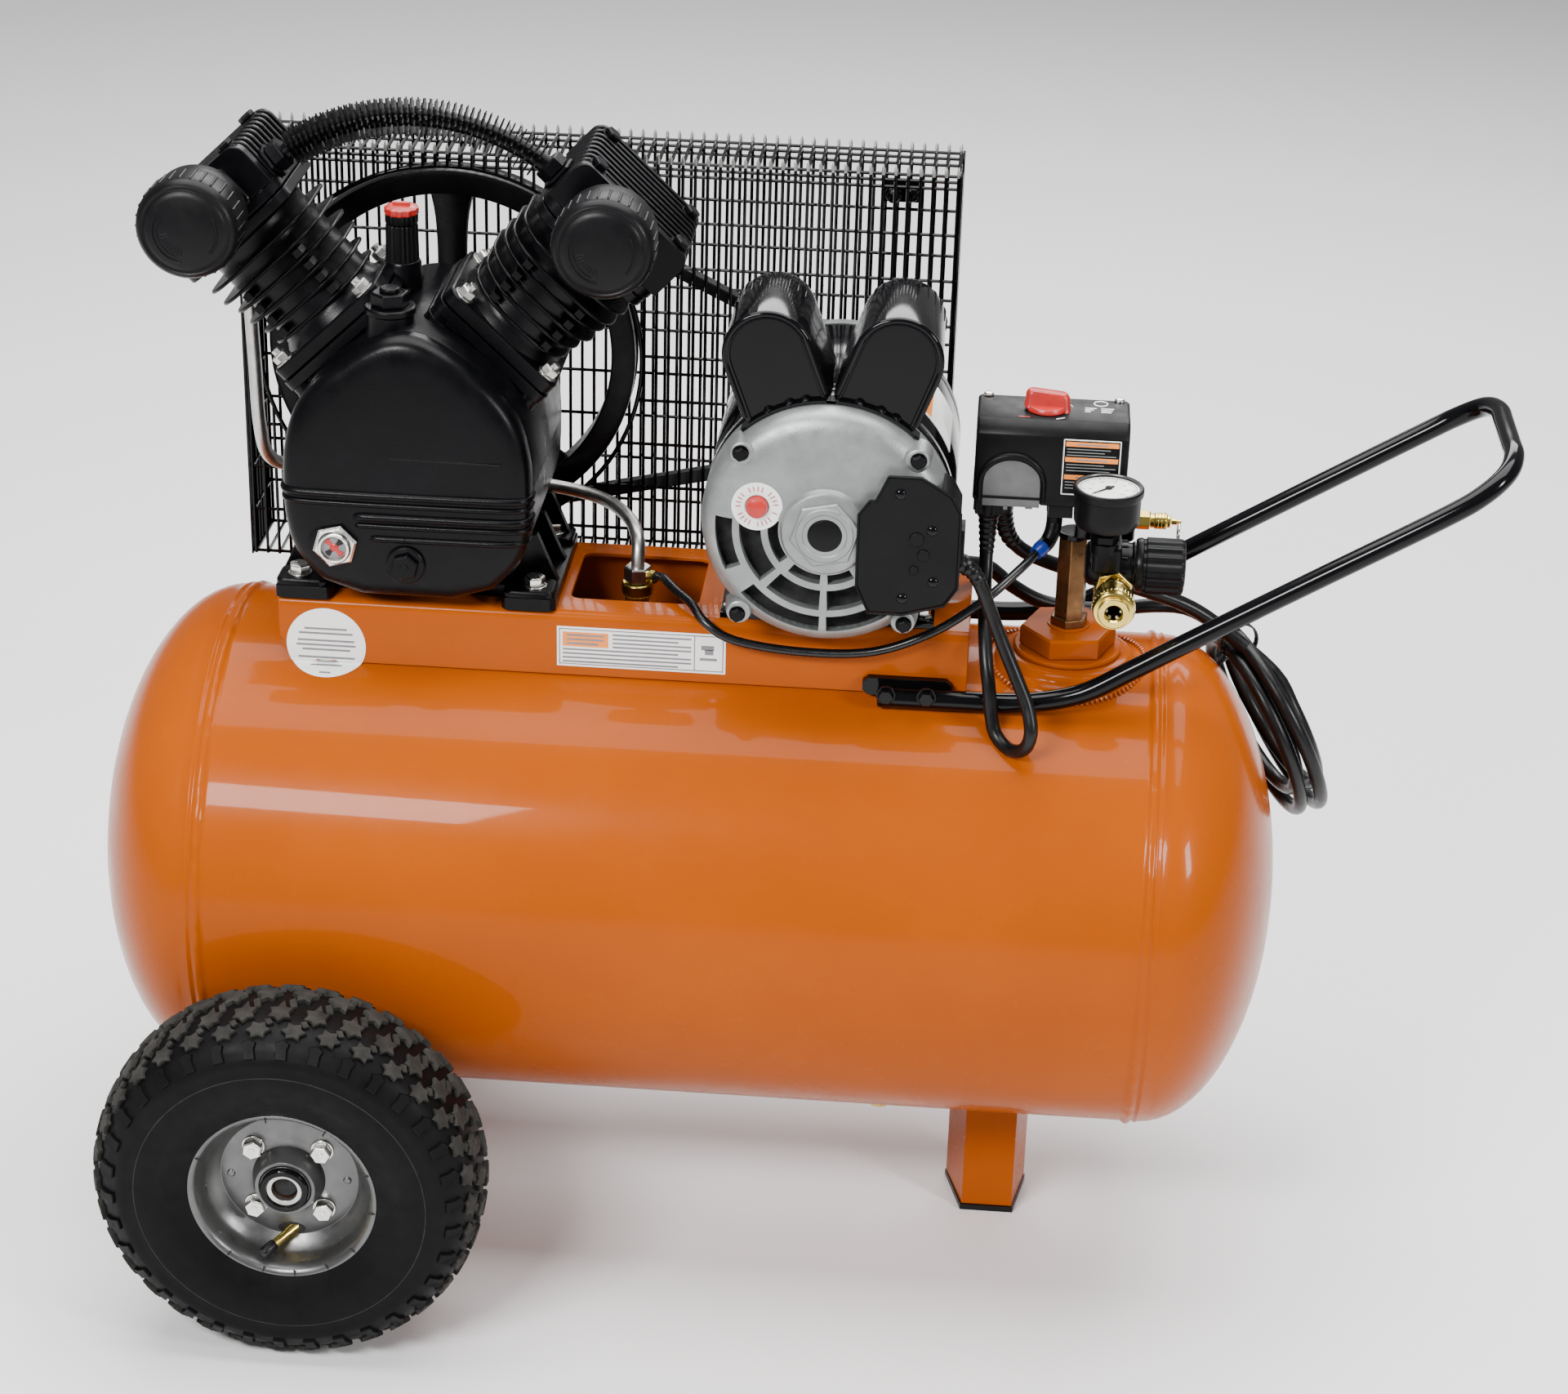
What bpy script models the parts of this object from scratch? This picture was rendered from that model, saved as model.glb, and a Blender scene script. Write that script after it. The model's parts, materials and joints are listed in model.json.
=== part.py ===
"""Twin stack compressor: a horizontal air tank on two wheels and one foot, carrying a
belt-driven V-twin pump, an electric motor, a wire belt guard and a regulator manifold.

Axes: X runs along the tank from the wheel end to the handle end, Y runs from the
operator's side to the belt side, Z is up and the floor is Z = 0. Every dimension below is
in millimetres, counted from the middle of the tank. The objects are made in metres, and
CENTRE_X moves them so that the middle of the whole length stands at X = 0.
"""
import math

import bmesh
import bpy
from mathutils import Matrix, Vector

MM = 0.001
GAP = 0.3                       # space left between two pieces that touch
CENTRE_X = 67.46                # middle of the whole length, counted from the tank's middle

# Tank
TANK_R = 178.0
TANK_Z = 286.5
TANK_HALF_SHELL = 328.0
TANK_FLANGE = 8.0
TANK_HEAD_DEPTH = 89.0          # a 2:1 head is half as deep as its radius
TANK_WALL = 3.0
TANK_STEPS = 32
OUTLET_X = 265.0
OUTLET_Y = -8.0
CHECK_X = -41.0
DRAIN_X = 147.0

# Saddle: a folded channel welded on top of the tank
SADDLE_TOP = 502.0
SADDLE_HALF_W = 64.0
SADDLE_X0 = -286.0
SADDLE_X1 = 196.0
SADDLE_SHEET = 3.0
SADDLE_LOW = 454.2

# Running gear
WHEEL_X = -255.0
WHEEL_Y = 230.0
WHEEL_R = 138.5
TYRE_W = 92.0
RIM_R = 66.0
AXLE_R = 8.0
FOOT_X = 233.0
FOOT_HALF_W = 19.0

# Pump
PUMP_X = -190.0
PUMP_Z = 628.0
PUMP_HALF_Y = 72.0
V_ANGLE = math.radians(43.5)
CYL_BASE = 80.0
CYL_TOP = 178.0
HEAD_TOP = 219.0
HEAD_HALF_W = 49.0
HEAD_HALF_Y = 46.0
BORE_R = 32.5
CRANK_R = 12.0
CRANK_THROW = 24.0
PISTON_CROWN = 168.0            # 8 below the top of its stroke, with the crankpin upright

# Drive
DRIVE_Y = 118.0                 # middle plane of the belt
FLY_R = 134.0
FLY_PITCH_R = 130.0
PULLEY_R = 38.0
PULLEY_PITCH_R = 34.0
BELT_W = 12.0
BELT_T = 9.0

# Motor
MOTOR_X = 97.0
MOTOR_Z = 595.0
MOTOR_R = 84.5
SHAFT_R = 8.0

# Belt guard
GUARD_X0 = -340.0
GUARD_X1 = 172.0
GUARD_Z0 = 462.0
GUARD_Z1 = 778.0
GUARD_Y0 = 97.0
GUARD_Y1 = 160.0
GUARD_WIRE = 4.0

# Handle
RAIL_Y = 77.0
RAIL_R = 7.0


for old in list(bpy.data.objects):
    bpy.data.objects.remove(old, do_unlink=True)


MATERIALS = {}


def material(name, colour, metallic, roughness):
    """One Principled material, made once."""
    if name not in MATERIALS:
        mat = bpy.data.materials.new(name)
        mat.use_nodes = True
        shader = mat.node_tree.nodes["Principled BSDF"]
        shader.inputs["Base Color"].default_value = (*colour, 1.0)
        shader.inputs["Metallic"].default_value = metallic
        shader.inputs["Roughness"].default_value = roughness
        mat.diffuse_color = (*colour, 1.0)
        MATERIALS[name] = mat
    return MATERIALS[name]


LOOKS = {
    "orange": ((0.78, 0.25, 0.02), 0.0, 0.25),
    "black_cast": ((0.03, 0.03, 0.035), 0.1, 0.5),
    "black_gloss": ((0.02, 0.02, 0.022), 0.0, 0.2),
    "grey_bell": ((0.55, 0.56, 0.56), 0.6, 0.4),
    "steel": ((0.6, 0.6, 0.6), 1.0, 0.35),
    "rim_grey": ((0.42, 0.42, 0.42), 0.8, 0.4),
    "tyre_rubber": ((0.025, 0.025, 0.025), 0.0, 0.8),
    "rubber": ((0.02, 0.02, 0.02), 0.0, 0.6),
    "black_plastic": ((0.02, 0.02, 0.022), 0.0, 0.5),
    "red_plastic": ((0.6, 0.03, 0.02), 0.0, 0.4),
    "brass": ((0.75, 0.55, 0.2), 1.0, 0.3),
}


# ---------------------------------------------------------------- mesh helpers

def make(name, mesh, look, origin=(0.0, 0.0, 0.0)):
    """Turn (points, faces) in millimetres into a named object with its origin placed."""
    points, faces = mesh
    data = bpy.data.meshes.new(name)
    shift = Vector(origin)
    data.from_pydata([tuple((Vector(p) - shift) * MM) for p in points], [], faces)
    middle = Vector((CENTRE_X, 0.0, 0.0))
    fix = bmesh.new()
    fix.from_mesh(data)
    bmesh.ops.recalc_face_normals(fix, faces=fix.faces)
    fix.to_mesh(data)
    fix.free()
    data.materials.append(material(look, *LOOKS[look]))
    obj = bpy.data.objects.new(name, data)
    obj.location = (shift - middle) * MM
    bpy.context.scene.collection.objects.link(obj)
    return obj


def combine(target, operation, *tools):
    """Boolean each tool mesh into the target, then drop the tool object."""
    for tool in tools:
        cutter = make("tool", tool, "steel")
        step = target.modifiers.new("step", "BOOLEAN")
        step.object = cutter
        step.operation = operation
        step.solver = "EXACT"
        bpy.context.view_layer.update()
        graph = bpy.context.evaluated_depsgraph_get()
        result = bpy.data.meshes.new_from_object(target.evaluated_get(graph))
        target.modifiers.clear()
        target.data = result
        bpy.data.objects.remove(cutter, do_unlink=True)
    while len(target.data.materials) > 1:
        target.data.materials.pop(index=len(target.data.materials) - 1)
    for face in target.data.polygons:
        face.material_index = 0
    return target


def cut(target, *tools):
    """Take each tool mesh out of the target."""
    return combine(target, "DIFFERENCE", *tools)


def join(target, *tools):
    """Add each tool mesh to the target as one solid."""
    return combine(target, "UNION", *tools)


AXES = {
    "X": Matrix(((0, 0, 1), (1, 0, 0), (0, 1, 0))),
    "Y": Matrix(((1, 0, 0), (0, 0, -1), (0, 1, 0))),
    "-Y": Matrix(((1, 0, 0), (0, 0, 1), (0, 1, 0))),
    "Z": Matrix(((1, 0, 0), (0, 1, 0), (0, 0, 1))),
}


def turned(profile, steps, axis="Z", centre=(0.0, 0.0, 0.0), start=0.0):
    """Turn a closed (radius, height) loop, or an open one that ends on the axis."""
    points = []
    rings = []
    for radius, height in profile:
        if radius < 1e-6:
            rings.append([len(points)])
            points.append(Vector((0.0, 0.0, height)))
            continue
        ring = []
        for i in range(steps):
            a = start + 2.0 * math.pi * i / steps
            ring.append(len(points))
            points.append(Vector((radius * math.cos(a), radius * math.sin(a), height)))
        rings.append(ring)
    faces = []
    closed = len(rings[0]) > 1 and len(rings[-1]) > 1
    pairs = list(zip(rings, rings[1:]))
    if closed:
        pairs.append((rings[-1], rings[0]))
    for low, high in pairs:
        for i in range(steps):
            j = (i + 1) % steps
            if len(low) == 1 and len(high) == 1:
                continue
            if len(low) == 1:
                faces.append((low[0], high[j], high[i]))
            elif len(high) == 1:
                faces.append((low[i], low[j], high[0]))
            else:
                faces.append((low[i], low[j], high[j], high[i]))
    if axis == "X":
        placed = [Vector((p.z, p.x, p.y)) for p in points]
    elif axis == "Y":
        placed = [Vector((p.x, p.z, p.y)) for p in points]
    else:
        placed = points
    shift = Vector(centre)
    return [p + shift for p in placed], faces


def rod(radius, low, high, axis="Z", centre=(0.0, 0.0, 0.0), steps=20, start=0.0):
    """A plain round or many-sided bar between two heights on its axis."""
    loop = [(0.0, low), (radius, low), (radius, high), (0.0, high)]
    return turned(loop, steps, axis, centre, start)


def hexagon(across, low, high, axis="Z", centre=(0.0, 0.0, 0.0)):
    """A hexagonal bar, measured across its flats."""
    return rod(across / 2.0 / math.cos(math.pi / 6.0), low, high, axis, centre, 6)


def layers(rings):
    """Skin a stack of equal-length rings and close both ends."""
    points = []
    count = len(rings[0])
    for ring in rings:
        points.extend(Vector(p) for p in ring)
    faces = [tuple(range(count))]
    for k in range(len(rings) - 1):
        a = k * count
        b = a + count
        for i in range(count):
            j = (i + 1) % count
            faces.append((a + i, a + j, b + j, b + i))
    last = (len(rings) - 1) * count
    faces.append(tuple(reversed(range(last, last + count))))
    return points, faces


def prism(outline, low, high, axis="Z"):
    """Push a closed outline along an axis. Outline pairs are the other two axes."""
    rings = []
    for t in (low, high):
        if axis == "X":
            rings.append([(t, a, b) for a, b in outline])
        elif axis == "Y":
            rings.append([(a, t, b) for a, b in outline])
        else:
            rings.append([(a, b, t) for a, b in outline])
    return layers(rings)


def block(x0, x1, y0, y1, z0, z1):
    """A box between two corners."""
    return prism([(x0, y0), (x1, y0), (x1, y1), (x0, y1)], z0, z1)


def rounded(half_a, half_b, radius, per_corner=4):
    """A rectangle outline with round corners, centred on zero."""
    outline = []
    corners = ((1, 1, 0.0), (-1, 1, 90.0), (-1, -1, 180.0), (1, -1, 270.0))
    for sa, sb, first in corners:
        for k in range(per_corner):
            a = math.radians(first + 90.0 * k / (per_corner - 1))
            outline.append((sa * (half_a - radius) + radius * math.cos(a),
                            sb * (half_b - radius) + radius * math.sin(a)))
    return outline


def smooth_path(knots, spacing):
    """A Catmull-Rom curve through the knots, sampled about every `spacing`."""
    knots = [Vector(k) for k in knots]
    full = [2 * knots[0] - knots[1]] + knots + [2 * knots[-1] - knots[-2]]
    path = []
    for i in range(1, len(full) - 2):
        p0, p1, p2, p3 = full[i - 1:i + 3]
        count = max(1, round((p2 - p1).length / spacing))
        for k in range(count):
            t = k / count
            path.append(0.5 * (2 * p1 + (p2 - p0) * t + (2 * p0 - 5 * p1 + 4 * p2 - p3) * t * t
                               + (3 * p1 - p0 - 3 * p2 + p3) * t ** 3))
    path.append(knots[-1])
    return path


def swept(path, radius, sides=10, radii=None):
    """A round tube along a path, with flat ends."""
    path = [Vector(p) for p in path]
    heading = (path[1] - path[0]).normalized()
    side = heading.orthogonal().normalized()
    rings = []
    for i, point in enumerate(path):
        before = path[max(0, i - 1)]
        after = path[min(len(path) - 1, i + 1)]
        new = (after - before).normalized()
        side = (heading.rotation_difference(new) @ side).normalized()
        side = (side - new * side.dot(new)).normalized()
        heading = new
        up = heading.cross(side)
        size = radii[i] if radii else radius
        ring = []
        for k in range(sides):
            a = 2.0 * math.pi * k / sides
            ring.append(point + side * (size * math.cos(a)) + up * (size * math.sin(a)))
        rings.append(ring)
    return layers(rings)


def free_cord(name, path, radius, look):
    """A free cord: a poly curve with a round bevel and filled ends."""
    curve = bpy.data.curves.new(name, "CURVE")
    curve.dimensions = "3D"
    curve.bevel_depth = radius * MM
    curve.bevel_resolution = 2
    curve.use_fill_caps = True
    spline = curve.splines.new("POLY")
    spline.points.add(len(path) - 1)
    for slot, point in zip(spline.points, path):
        slot.co = (*((Vector(point) - Vector((CENTRE_X, 0.0, 0.0))) * MM), 1.0)
    curve.materials.append(material(look, *LOOKS[look]))
    obj = bpy.data.objects.new(name, curve)
    bpy.context.scene.collection.objects.link(obj)
    return obj


def tank_tool(extra=GAP + 0.1):
    """The tank's outer drum, slightly larger, for shaping whatever sits on it."""
    return rod(TANK_R + extra, -400.0, 400.0, "X", (0.0, 0.0, TANK_Z), TANK_STEPS)


def on_bank(side, mesh):
    """Place a mesh made about +Z on one cylinder bank: side -1 is left, +1 is right."""
    points, faces = mesh
    turn = Matrix.Rotation(side * V_ANGLE, 3, "Y")
    shift = Vector((PUMP_X, 0.0, PUMP_Z))
    return [turn @ Vector(p) + shift for p in points], faces


# ---------------------------------------------------------------- tank and frame

def head_curve(radius, depth, base, sign, count):
    """Points of an elliptical head from its pole out to its rim."""
    curve = []
    for k in range(count + 1):
        a = 0.5 * math.pi * k / count
        curve.append((radius * math.sin(a), sign * (base + depth * math.cos(a))))
    return curve


def build_tank():
    base = TANK_HALF_SHELL + TANK_FLANGE
    outer = head_curve(TANK_R, TANK_HEAD_DEPTH, base, -1, 6)
    for seam in (-TANK_HALF_SHELL, TANK_HALF_SHELL):
        outer += [(TANK_R, seam - 4.0), (TANK_R + 1.6, seam - 1.5),
                  (TANK_R + 1.6, seam + 1.5), (TANK_R, seam + 4.0)]
    outer += list(reversed(head_curve(TANK_R, TANK_HEAD_DEPTH, base, 1, 6)))
    inner_r = TANK_R - TANK_WALL
    inner_depth = TANK_HEAD_DEPTH - TANK_WALL
    inner = head_curve(inner_r, inner_depth, base, -1, 4)
    inner += list(reversed(head_curve(inner_r, inner_depth, base, 1, 4)))
    centre = (0.0, 0.0, TANK_Z)
    tank = make("tank_shell", turned(outer, TANK_STEPS, "X", centre), "orange")
    cut(tank, turned(inner, TANK_STEPS, "X", centre),
        rod(17.0, 440.0, 480.0, "Z", (OUTLET_X, OUTLET_Y, 0.0), 24),
        rod(7.0, 440.0, 480.0, "Z", (CHECK_X, 0.0, 0.0), 16),
        rod(6.0, 90.0, 130.0, "Z", (DRAIN_X, 0.0, 0.0), 16))


def build_saddle():
    w = SADDLE_HALF_W
    s = SADDLE_SHEET
    top = SADDLE_TOP
    low = SADDLE_LOW
    outline = [(-w, low), (-w, top - 4.0), (-w + 4.0, top), (w - 4.0, top), (w, top - 4.0),
               (w, low), (w - s, low), (w - s, top - s), (-w + s, top - s), (-w + s, low)]
    saddle = make("saddle", prism(outline, SADDLE_X0, SADDLE_X1, "X"), "orange")
    corner = [(SADDLE_X0 - 5.0, low - 5.0), (SADDLE_X0 + 26.0, low - 5.0),
              (SADDLE_X0 - 5.0, low + 22.0)]
    cut(saddle, block(-84.0, 6.0, -38.0, 42.0, top - 20.0, top + 10.0),
        prism(corner, -w - 5.0, w + 5.0, "Y"))


def build_foot():
    w = FOOT_HALF_W
    x = FOOT_X
    plan = [(x - w, -22.0), (x + w, -22.0), (x + w + 9.0, 22.0), (x + w + 4.8, 22.0),
            (x + w - 3.6, -18.0), (x - w + 3.6, -18.0), (x - w - 8.8, 22.0),
            (x - w - 13.0, 22.0)]
    leg = make("foot_leg", prism(plan, 5.0, 130.0), "orange")
    cut(leg, tank_tool())
    pad = [(x - w - 1.0, -23.5), (x + w + 1.0, -23.5), (x + w + 10.0, 23.5),
           (x - w - 14.0, 23.5)]
    make("foot_pad", prism(pad, 0.0, 5.0 - GAP), "rubber")


def build_wheel_bracket():
    reach = 172.0
    sheet = 6.0
    outline = [(-reach, 98.0), (reach, 98.0), (reach, 168.0), (reach - sheet, 168.0),
               (reach - sheet, 120.0), (60.0, 120.0), (-60.0, 120.0),
               (-reach + sheet, 120.0), (-reach + sheet, 168.0), (-reach, 168.0)]
    bracket = make("wheel_bracket", prism(outline, WHEEL_X - 35.0, WHEEL_X + 35.0, "X"),
                   "orange")
    cut(bracket, tank_tool(),
        block(WHEEL_X - 40, WHEEL_X + 40, 75.0, reach - sheet, 103.0, 130.0),
        block(WHEEL_X - 40, WHEEL_X + 40, -reach + sheet, -75.0, 103.0, 130.0))
    tip = WHEEL_Y + 20.0
    for side in (-1, 1):
        stub = rod(AXLE_R, side * (reach - 3.0), side * tip, "Y", (WHEEL_X, 0.0, WHEEL_R), 20)
        shoulder = rod(13.0, side * (reach - 3.0), side * (reach + 20.0), "Y",
                       (WHEEL_X, 0.0, WHEEL_R), 20)
        join(bracket, stub, shoulder)


def tyre_section():
    """Closed section of the tyre as (radius, offset) pairs, open towards the rim."""
    half = TYRE_W / 2.0
    mid = 99.0
    tall = WHEEL_R - mid
    outer = []
    for k in range(11):
        a = math.radians(-120.0 + 240.0 * k / 10)
        c = math.cos(a)
        s = math.sin(a)
        outer.append((mid + tall * math.copysign(abs(c) ** 0.75, c),
                      half * math.copysign(abs(s) ** 0.75, s)))
    inner = []
    for k in range(5):
        a = math.radians(115.0 - 230.0 * k / 4)
        inner.append((mid - 4.0 + (tall - 9.0) * math.cos(a), (half - 10.0) * math.sin(a)))
    return outer + inner


def build_wheel(name, side):
    centre = (WHEEL_X, side * WHEEL_Y, WHEEL_R)
    lip = RIM_R
    bore = AXLE_R + 0.4
    # Offsets run from the outer face of the wheel (negative) to the tank side.
    rim = [(lip, -33.0), (61.5, -26.0), (60.0, -13.0), (50.0, -8.0), (50.0, 8.0),
           (60.0, 13.0), (61.5, 26.0), (lip, 33.0), (57.5, 26.0), (57.0, 15.0),
           (47.0, 9.0), (47.0, -6.0), (17.0, -6.0), (17.0, 27.0), (bore, 27.0),
           (bore, -22.0), (13.0, -22.0), (13.0, -34.0), (17.0, -34.0), (17.0, -9.5),
           (46.0, -9.5), (57.0, -16.0), (57.5, -27.0)]
    rim = [(r, -side * t) for r, t in rim]
    tyre = [(r, side * t) for r, t in tyre_section()]
    make("rim_" + name, turned(rim, 22, "Y", centre), "rim_grey", centre)
    rubber = make("tyre_" + name, turned(tyre, 28, "Y", centre), "tyre_rubber", centre)
    return rubber


def build_ports():
    centre = (OUTLET_X, OUTLET_Y, 0.0)
    pad = [(0.0, 440.0), (56.0, 440.0), (56.0, 465.0), (50.0, 470.0), (40.0, 472.0),
           (40.0, 474.0), (0.0, 474.0)]
    bushing = make("outlet_bushing", turned(pad, 24, "Z", centre), "orange")
    cut(bushing, tank_tool())
    join(bushing, hexagon(64.0, 470.0, 490.0, "Z", centre),
         rod(16.6, 458.0, 475.0, "Z", centre, 24))
    cut(bushing, rod(8.6, 450.0, 500.0, "Z", centre, 20))
    under = (DRAIN_X, 0.0, 0.0)
    body = make("drain_body", rod(5.6, 96.0, 112.0, "Z", under, 16), "brass")
    join(body, hexagon(17.0, 92.0, 107.6, "Z", under))
    make("drain_knob", turned([(0.0, 78.0), (9.0, 78.0), (10.0, 80.0), (10.0, 88.0),
                               (5.0, 89.0), (5.0, 91.7), (0.0, 91.7)], 16, "Z", under),
         "brass", (DRAIN_X, 0.0, 85.0))


def build_handle():
    y = RAIL_Y
    knots = [(137.0, y, 457.5), (185.0, y, 457.8), (235.0, y, 459.0), (275.0, y, 468.5),
             (310.0, y, 489.5), (345.0, y, 512.0), (430.0, y, 565.5), (505.0, y, 612.5),
             (530.0, y - 3.0, 629.0), (546.0, y - 14.0, 641.0), (552.5, y - 34.0, 646.0),
             (553.0, 20.0, 646.5)]
    half = smooth_path([(a, -b, c) for a, b, c in knots], 34.0)
    other = [Vector((p.x, -p.y, p.z)) for p in reversed(half)]
    bar = make("handle", swept(half + other, RAIL_R, 8), "black_gloss")
    for side in (-1, 1):
        tab = block(128.0, 182.0, *sorted((side * (SADDLE_HALF_W + GAP), side * (y - 2.0))),
                    456.0, 468.0)
        join(bar, tab)


# ---------------------------------------------------------------- pump

def case_outline(scale=1.0, drop=0.0):
    """Front view of the crankcase, from the crank's axis."""
    half = [(0.0, 78.0), (12.0, 76.0), (28.0, 68.0), (46.0, 55.0), (62.0, 41.0),
            (75.0, 23.0), (82.0, 2.0), (85.0, -22.0), (84.0, -58.0), (77.0, -83.0),
            (60.0, -103.0), (32.0, -112.0)]
    both = half + [(-a, b) for a, b in reversed(half) if a > 0.0]
    return [(PUMP_X + a * scale, PUMP_Z + drop + (b - drop) * scale) for a, b in both]


def bank_box(side, low, high, half_w, half_y):
    return on_bank(side, block(-half_w, half_w, -half_y, half_y, low, high))


def build_crankcase():
    foot_low = SADDLE_TOP + GAP
    case = make("crankcase", prism(case_outline(), -PUMP_HALF_Y, PUMP_HALF_Y, "Y"),
                "black_cast")
    join(case, bank_box(-1, 20.0, CYL_BASE - GAP, 50.0, 46.0),
         bank_box(1, 20.0, CYL_BASE - GAP, 50.0, 46.0),
         block(PUMP_X - 99.0, PUMP_X + 99.0, -66.0, 58.0, foot_low, foot_low + 14.0),
         rod(16.0, 690.0, 730.0, "Z", (-203.0, -55.0, 0.0), 16),
         rod(13.0, 700.0, 726.0, "Z", (-207.0, 15.0, 0.0), 16),
         rod(10.0, 720.0, 752.0, "Z", (-207.0, 15.0, 0.0), 16),
         rod(34.0, 60.0, 80.0, "Y", (PUMP_X, 0.0, PUMP_Z), 24))
    inside = [(a, b) for a, b in case_outline(0.9, -15.0)]
    cut(case, prism(inside, -PUMP_HALF_Y - 5.0, PUMP_HALF_Y - 9.0, "Y"),
        rod(CRANK_R + 0.5, 50.0, 90.0, "Y", (PUMP_X, 0.0, PUMP_Z), 24),
        on_bank(-1, rod(BORE_R, 30.0, CYL_BASE + 5.0, "Z", (0, 0, 0), 24)),
        on_bank(1, rod(BORE_R, 30.0, CYL_BASE + 5.0, "Z", (0, 0, 0), 24)))
    steps = ((1.0, -PUMP_HALF_Y - GAP), (1.0, -80.0), (0.97, -85.0), (0.9, -88.5),
             (0.8, -90.0))
    rings = [[(a, y, b) for a, b in case_outline(k, -15.0)] for k, y in steps]
    make("front_cover", layers(rings), "black_cast")
    glass = [(0.0, -98.0), (9.0, -98.0), (9.5, -99.5), (13.5, -99.5), (13.5, -90.0 - GAP),
             (0.0, -90.0 - GAP)]
    make("sight_glass", turned(glass, 12, "Y", (-238.0, 0.0, 556.0)), "steel")
    plug = make("oil_plug", hexagon(17.0, -98.0, -93.0, "Y", (PUMP_X, 0.0, 544.0)),
                "black_cast")
    join(plug, rod(11.0, -94.0, -90.0 - GAP, "Y", (PUMP_X, 0.0, 544.0), 16))
    make("filler_cap", turned([(0.0, 752.0 + GAP), (11.5, 752.0 + GAP), (11.5, 762.0),
                               (9.0, 764.5), (0.0, 764.5)], 14, "Z",
                              (-207.0, 15.0, 0.0)), "red_plastic",
         (-207.0, 15.0, 752.0))


def build_bank(name, side):
    low = CYL_BASE
    high = CYL_TOP - GAP
    barrel = [(BORE_R, low), (50.0, low), (50.0, low + 10.0), (39.0, low + 12.0)]
    for k in range(3):
        d = low + 24.0 + 20.0 * k
        barrel += [(39.0, d), (49.0, d + 1.0), (49.0, d + 4.0), (39.0, d + 5.0)]
    barrel += [(39.0, high - 9.0), (48.0, high - 8.0), (48.0, high), (BORE_R, high)]
    cylinder = make("cylinder_" + name, on_bank(side, turned(barrel, 20)), "black_cast")
    if side < 0:
        cut(cylinder, rod(14.0, 690.0, 760.0, "Z", (-207.0, 15.0, 0.0), 16))
    crown = PISTON_CROWN
    piston = [(0.0, crown), (BORE_R - 0.1, crown), (BORE_R - 0.1, crown - 42.0),
              (BORE_R - 5.0, crown - 42.0), (BORE_R - 5.0, crown - 8.0), (0.0, crown - 8.0)]
    make("piston_" + name, on_bank(side, turned(piston, 20)), "steel",
         on_bank(side, ([(0.0, 0.0, crown)], []))[0][0])
    rings = []
    heights = ((CYL_TOP, 0), (187.0, 0), (188.0, 5), (191.0, 5), (192.0, 0), (195.0, 0),
               (196.0, 5), (199.0, 5), (200.0, 0), (203.0, 0), (204.0, 5), (207.0, 5),
               (208.0, 0), (214.0, 0), (HEAD_TOP, 3))
    for d, inset in heights:
        ring = rounded(HEAD_HALF_W - inset, HEAD_HALF_Y - inset, 16.0)
        rings.append([(a, b, d) for a, b in ring])
    make("head_" + name, on_bank(side, layers(rings)), "black_cast")
    # The air filter stands out of the head's front face, a little inwards of its middle.
    middle = Matrix.Rotation(side * V_ANGLE, 3, "Y") @ Vector((-side * 6.0, 0.0, 204.0))
    centre = (PUMP_X + middle.x, 0.0, PUMP_Z + middle.z)
    start = -HEAD_HALF_Y - GAP
    filter_loop = [(0.0, start), (13.0, start), (13.0, -60.0), (26.0, -61.0), (31.5, -65.0),
                   (32.5, -80.0), (33.5, -81.0), (33.5, -106.0), (30.0, -111.0),
                   (12.0, -113.0), (0.0, -113.0)]
    make("filter_" + name, turned(filter_loop, 20, "Y", centre), "black_plastic")


def build_pump_tubes():
    arch_r = 149.0
    start = math.radians(38.5)
    top = 837.0
    path = []
    for k in range(11):
        a = -start + 2.0 * start * k / 10
        path.append((PUMP_X + arch_r * math.sin(a), -20.0, top - arch_r * (1 - math.cos(a))))
    tube = make("cross_tube", swept(path, 6.0, 8), "black_cast")
    for side in (-1, 1):
        join(tube, on_bank(side, rod(10.0, -62.0, -HEAD_HALF_W - GAP, "X",
                                     (0.0, -20.0, 193.0), 12)
                           if side > 0 else
                           rod(10.0, HEAD_HALF_W + GAP, 62.0, "X", (0.0, -20.0, 193.0), 12)))
    foot = Matrix.Rotation(-V_ANGLE, 3, "Y")
    first = foot @ Vector((-40.0, 40.0, CYL_TOP - GAP - 0.3))
    second = foot @ Vector((-41.0, 40.0, CYL_TOP - 22.0))
    origin = Vector((PUMP_X, 0.0, PUMP_Z))
    knots = [first + origin, second + origin, (-322.0, 41.0, 690.0), (-320.0, 42.0, 640.0),
             (-319.0, 44.0, 590.0), (-316.0, 54.0, 560.0), (-304.0, 72.0, 545.0),
             (-280.0, 83.0, 540.0), (-235.0, 86.0, 538.5), (-150.0, 86.0, 536.0),
             (-105.0, 82.0, 534.5), (-72.0, 62.0, 535.0), (-51.0, 30.0, 535.5),
             (CHECK_X - 1.0, 8.0, 529.0), (CHECK_X, 0.0, 515.0), (CHECK_X, 0.0, 500.0 + GAP)]
    make("discharge_tube", swept(smooth_path(knots, 22.0), 4.8, 8), "steel")
    loop = [(0.0, 459.0), (6.6, 459.0), (6.6, 465.2), (13.0, 465.2), (13.0, 478.0),
            (9.5, 480.0), (9.5, 490.0), (11.5, 491.0), (11.5, 500.0), (0.0, 500.0)]
    make("check_valve", turned(loop, 12, "Z", (CHECK_X, 0.0, 0.0)), "brass")


# ---------------------------------------------------------------- drive and motor

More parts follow.
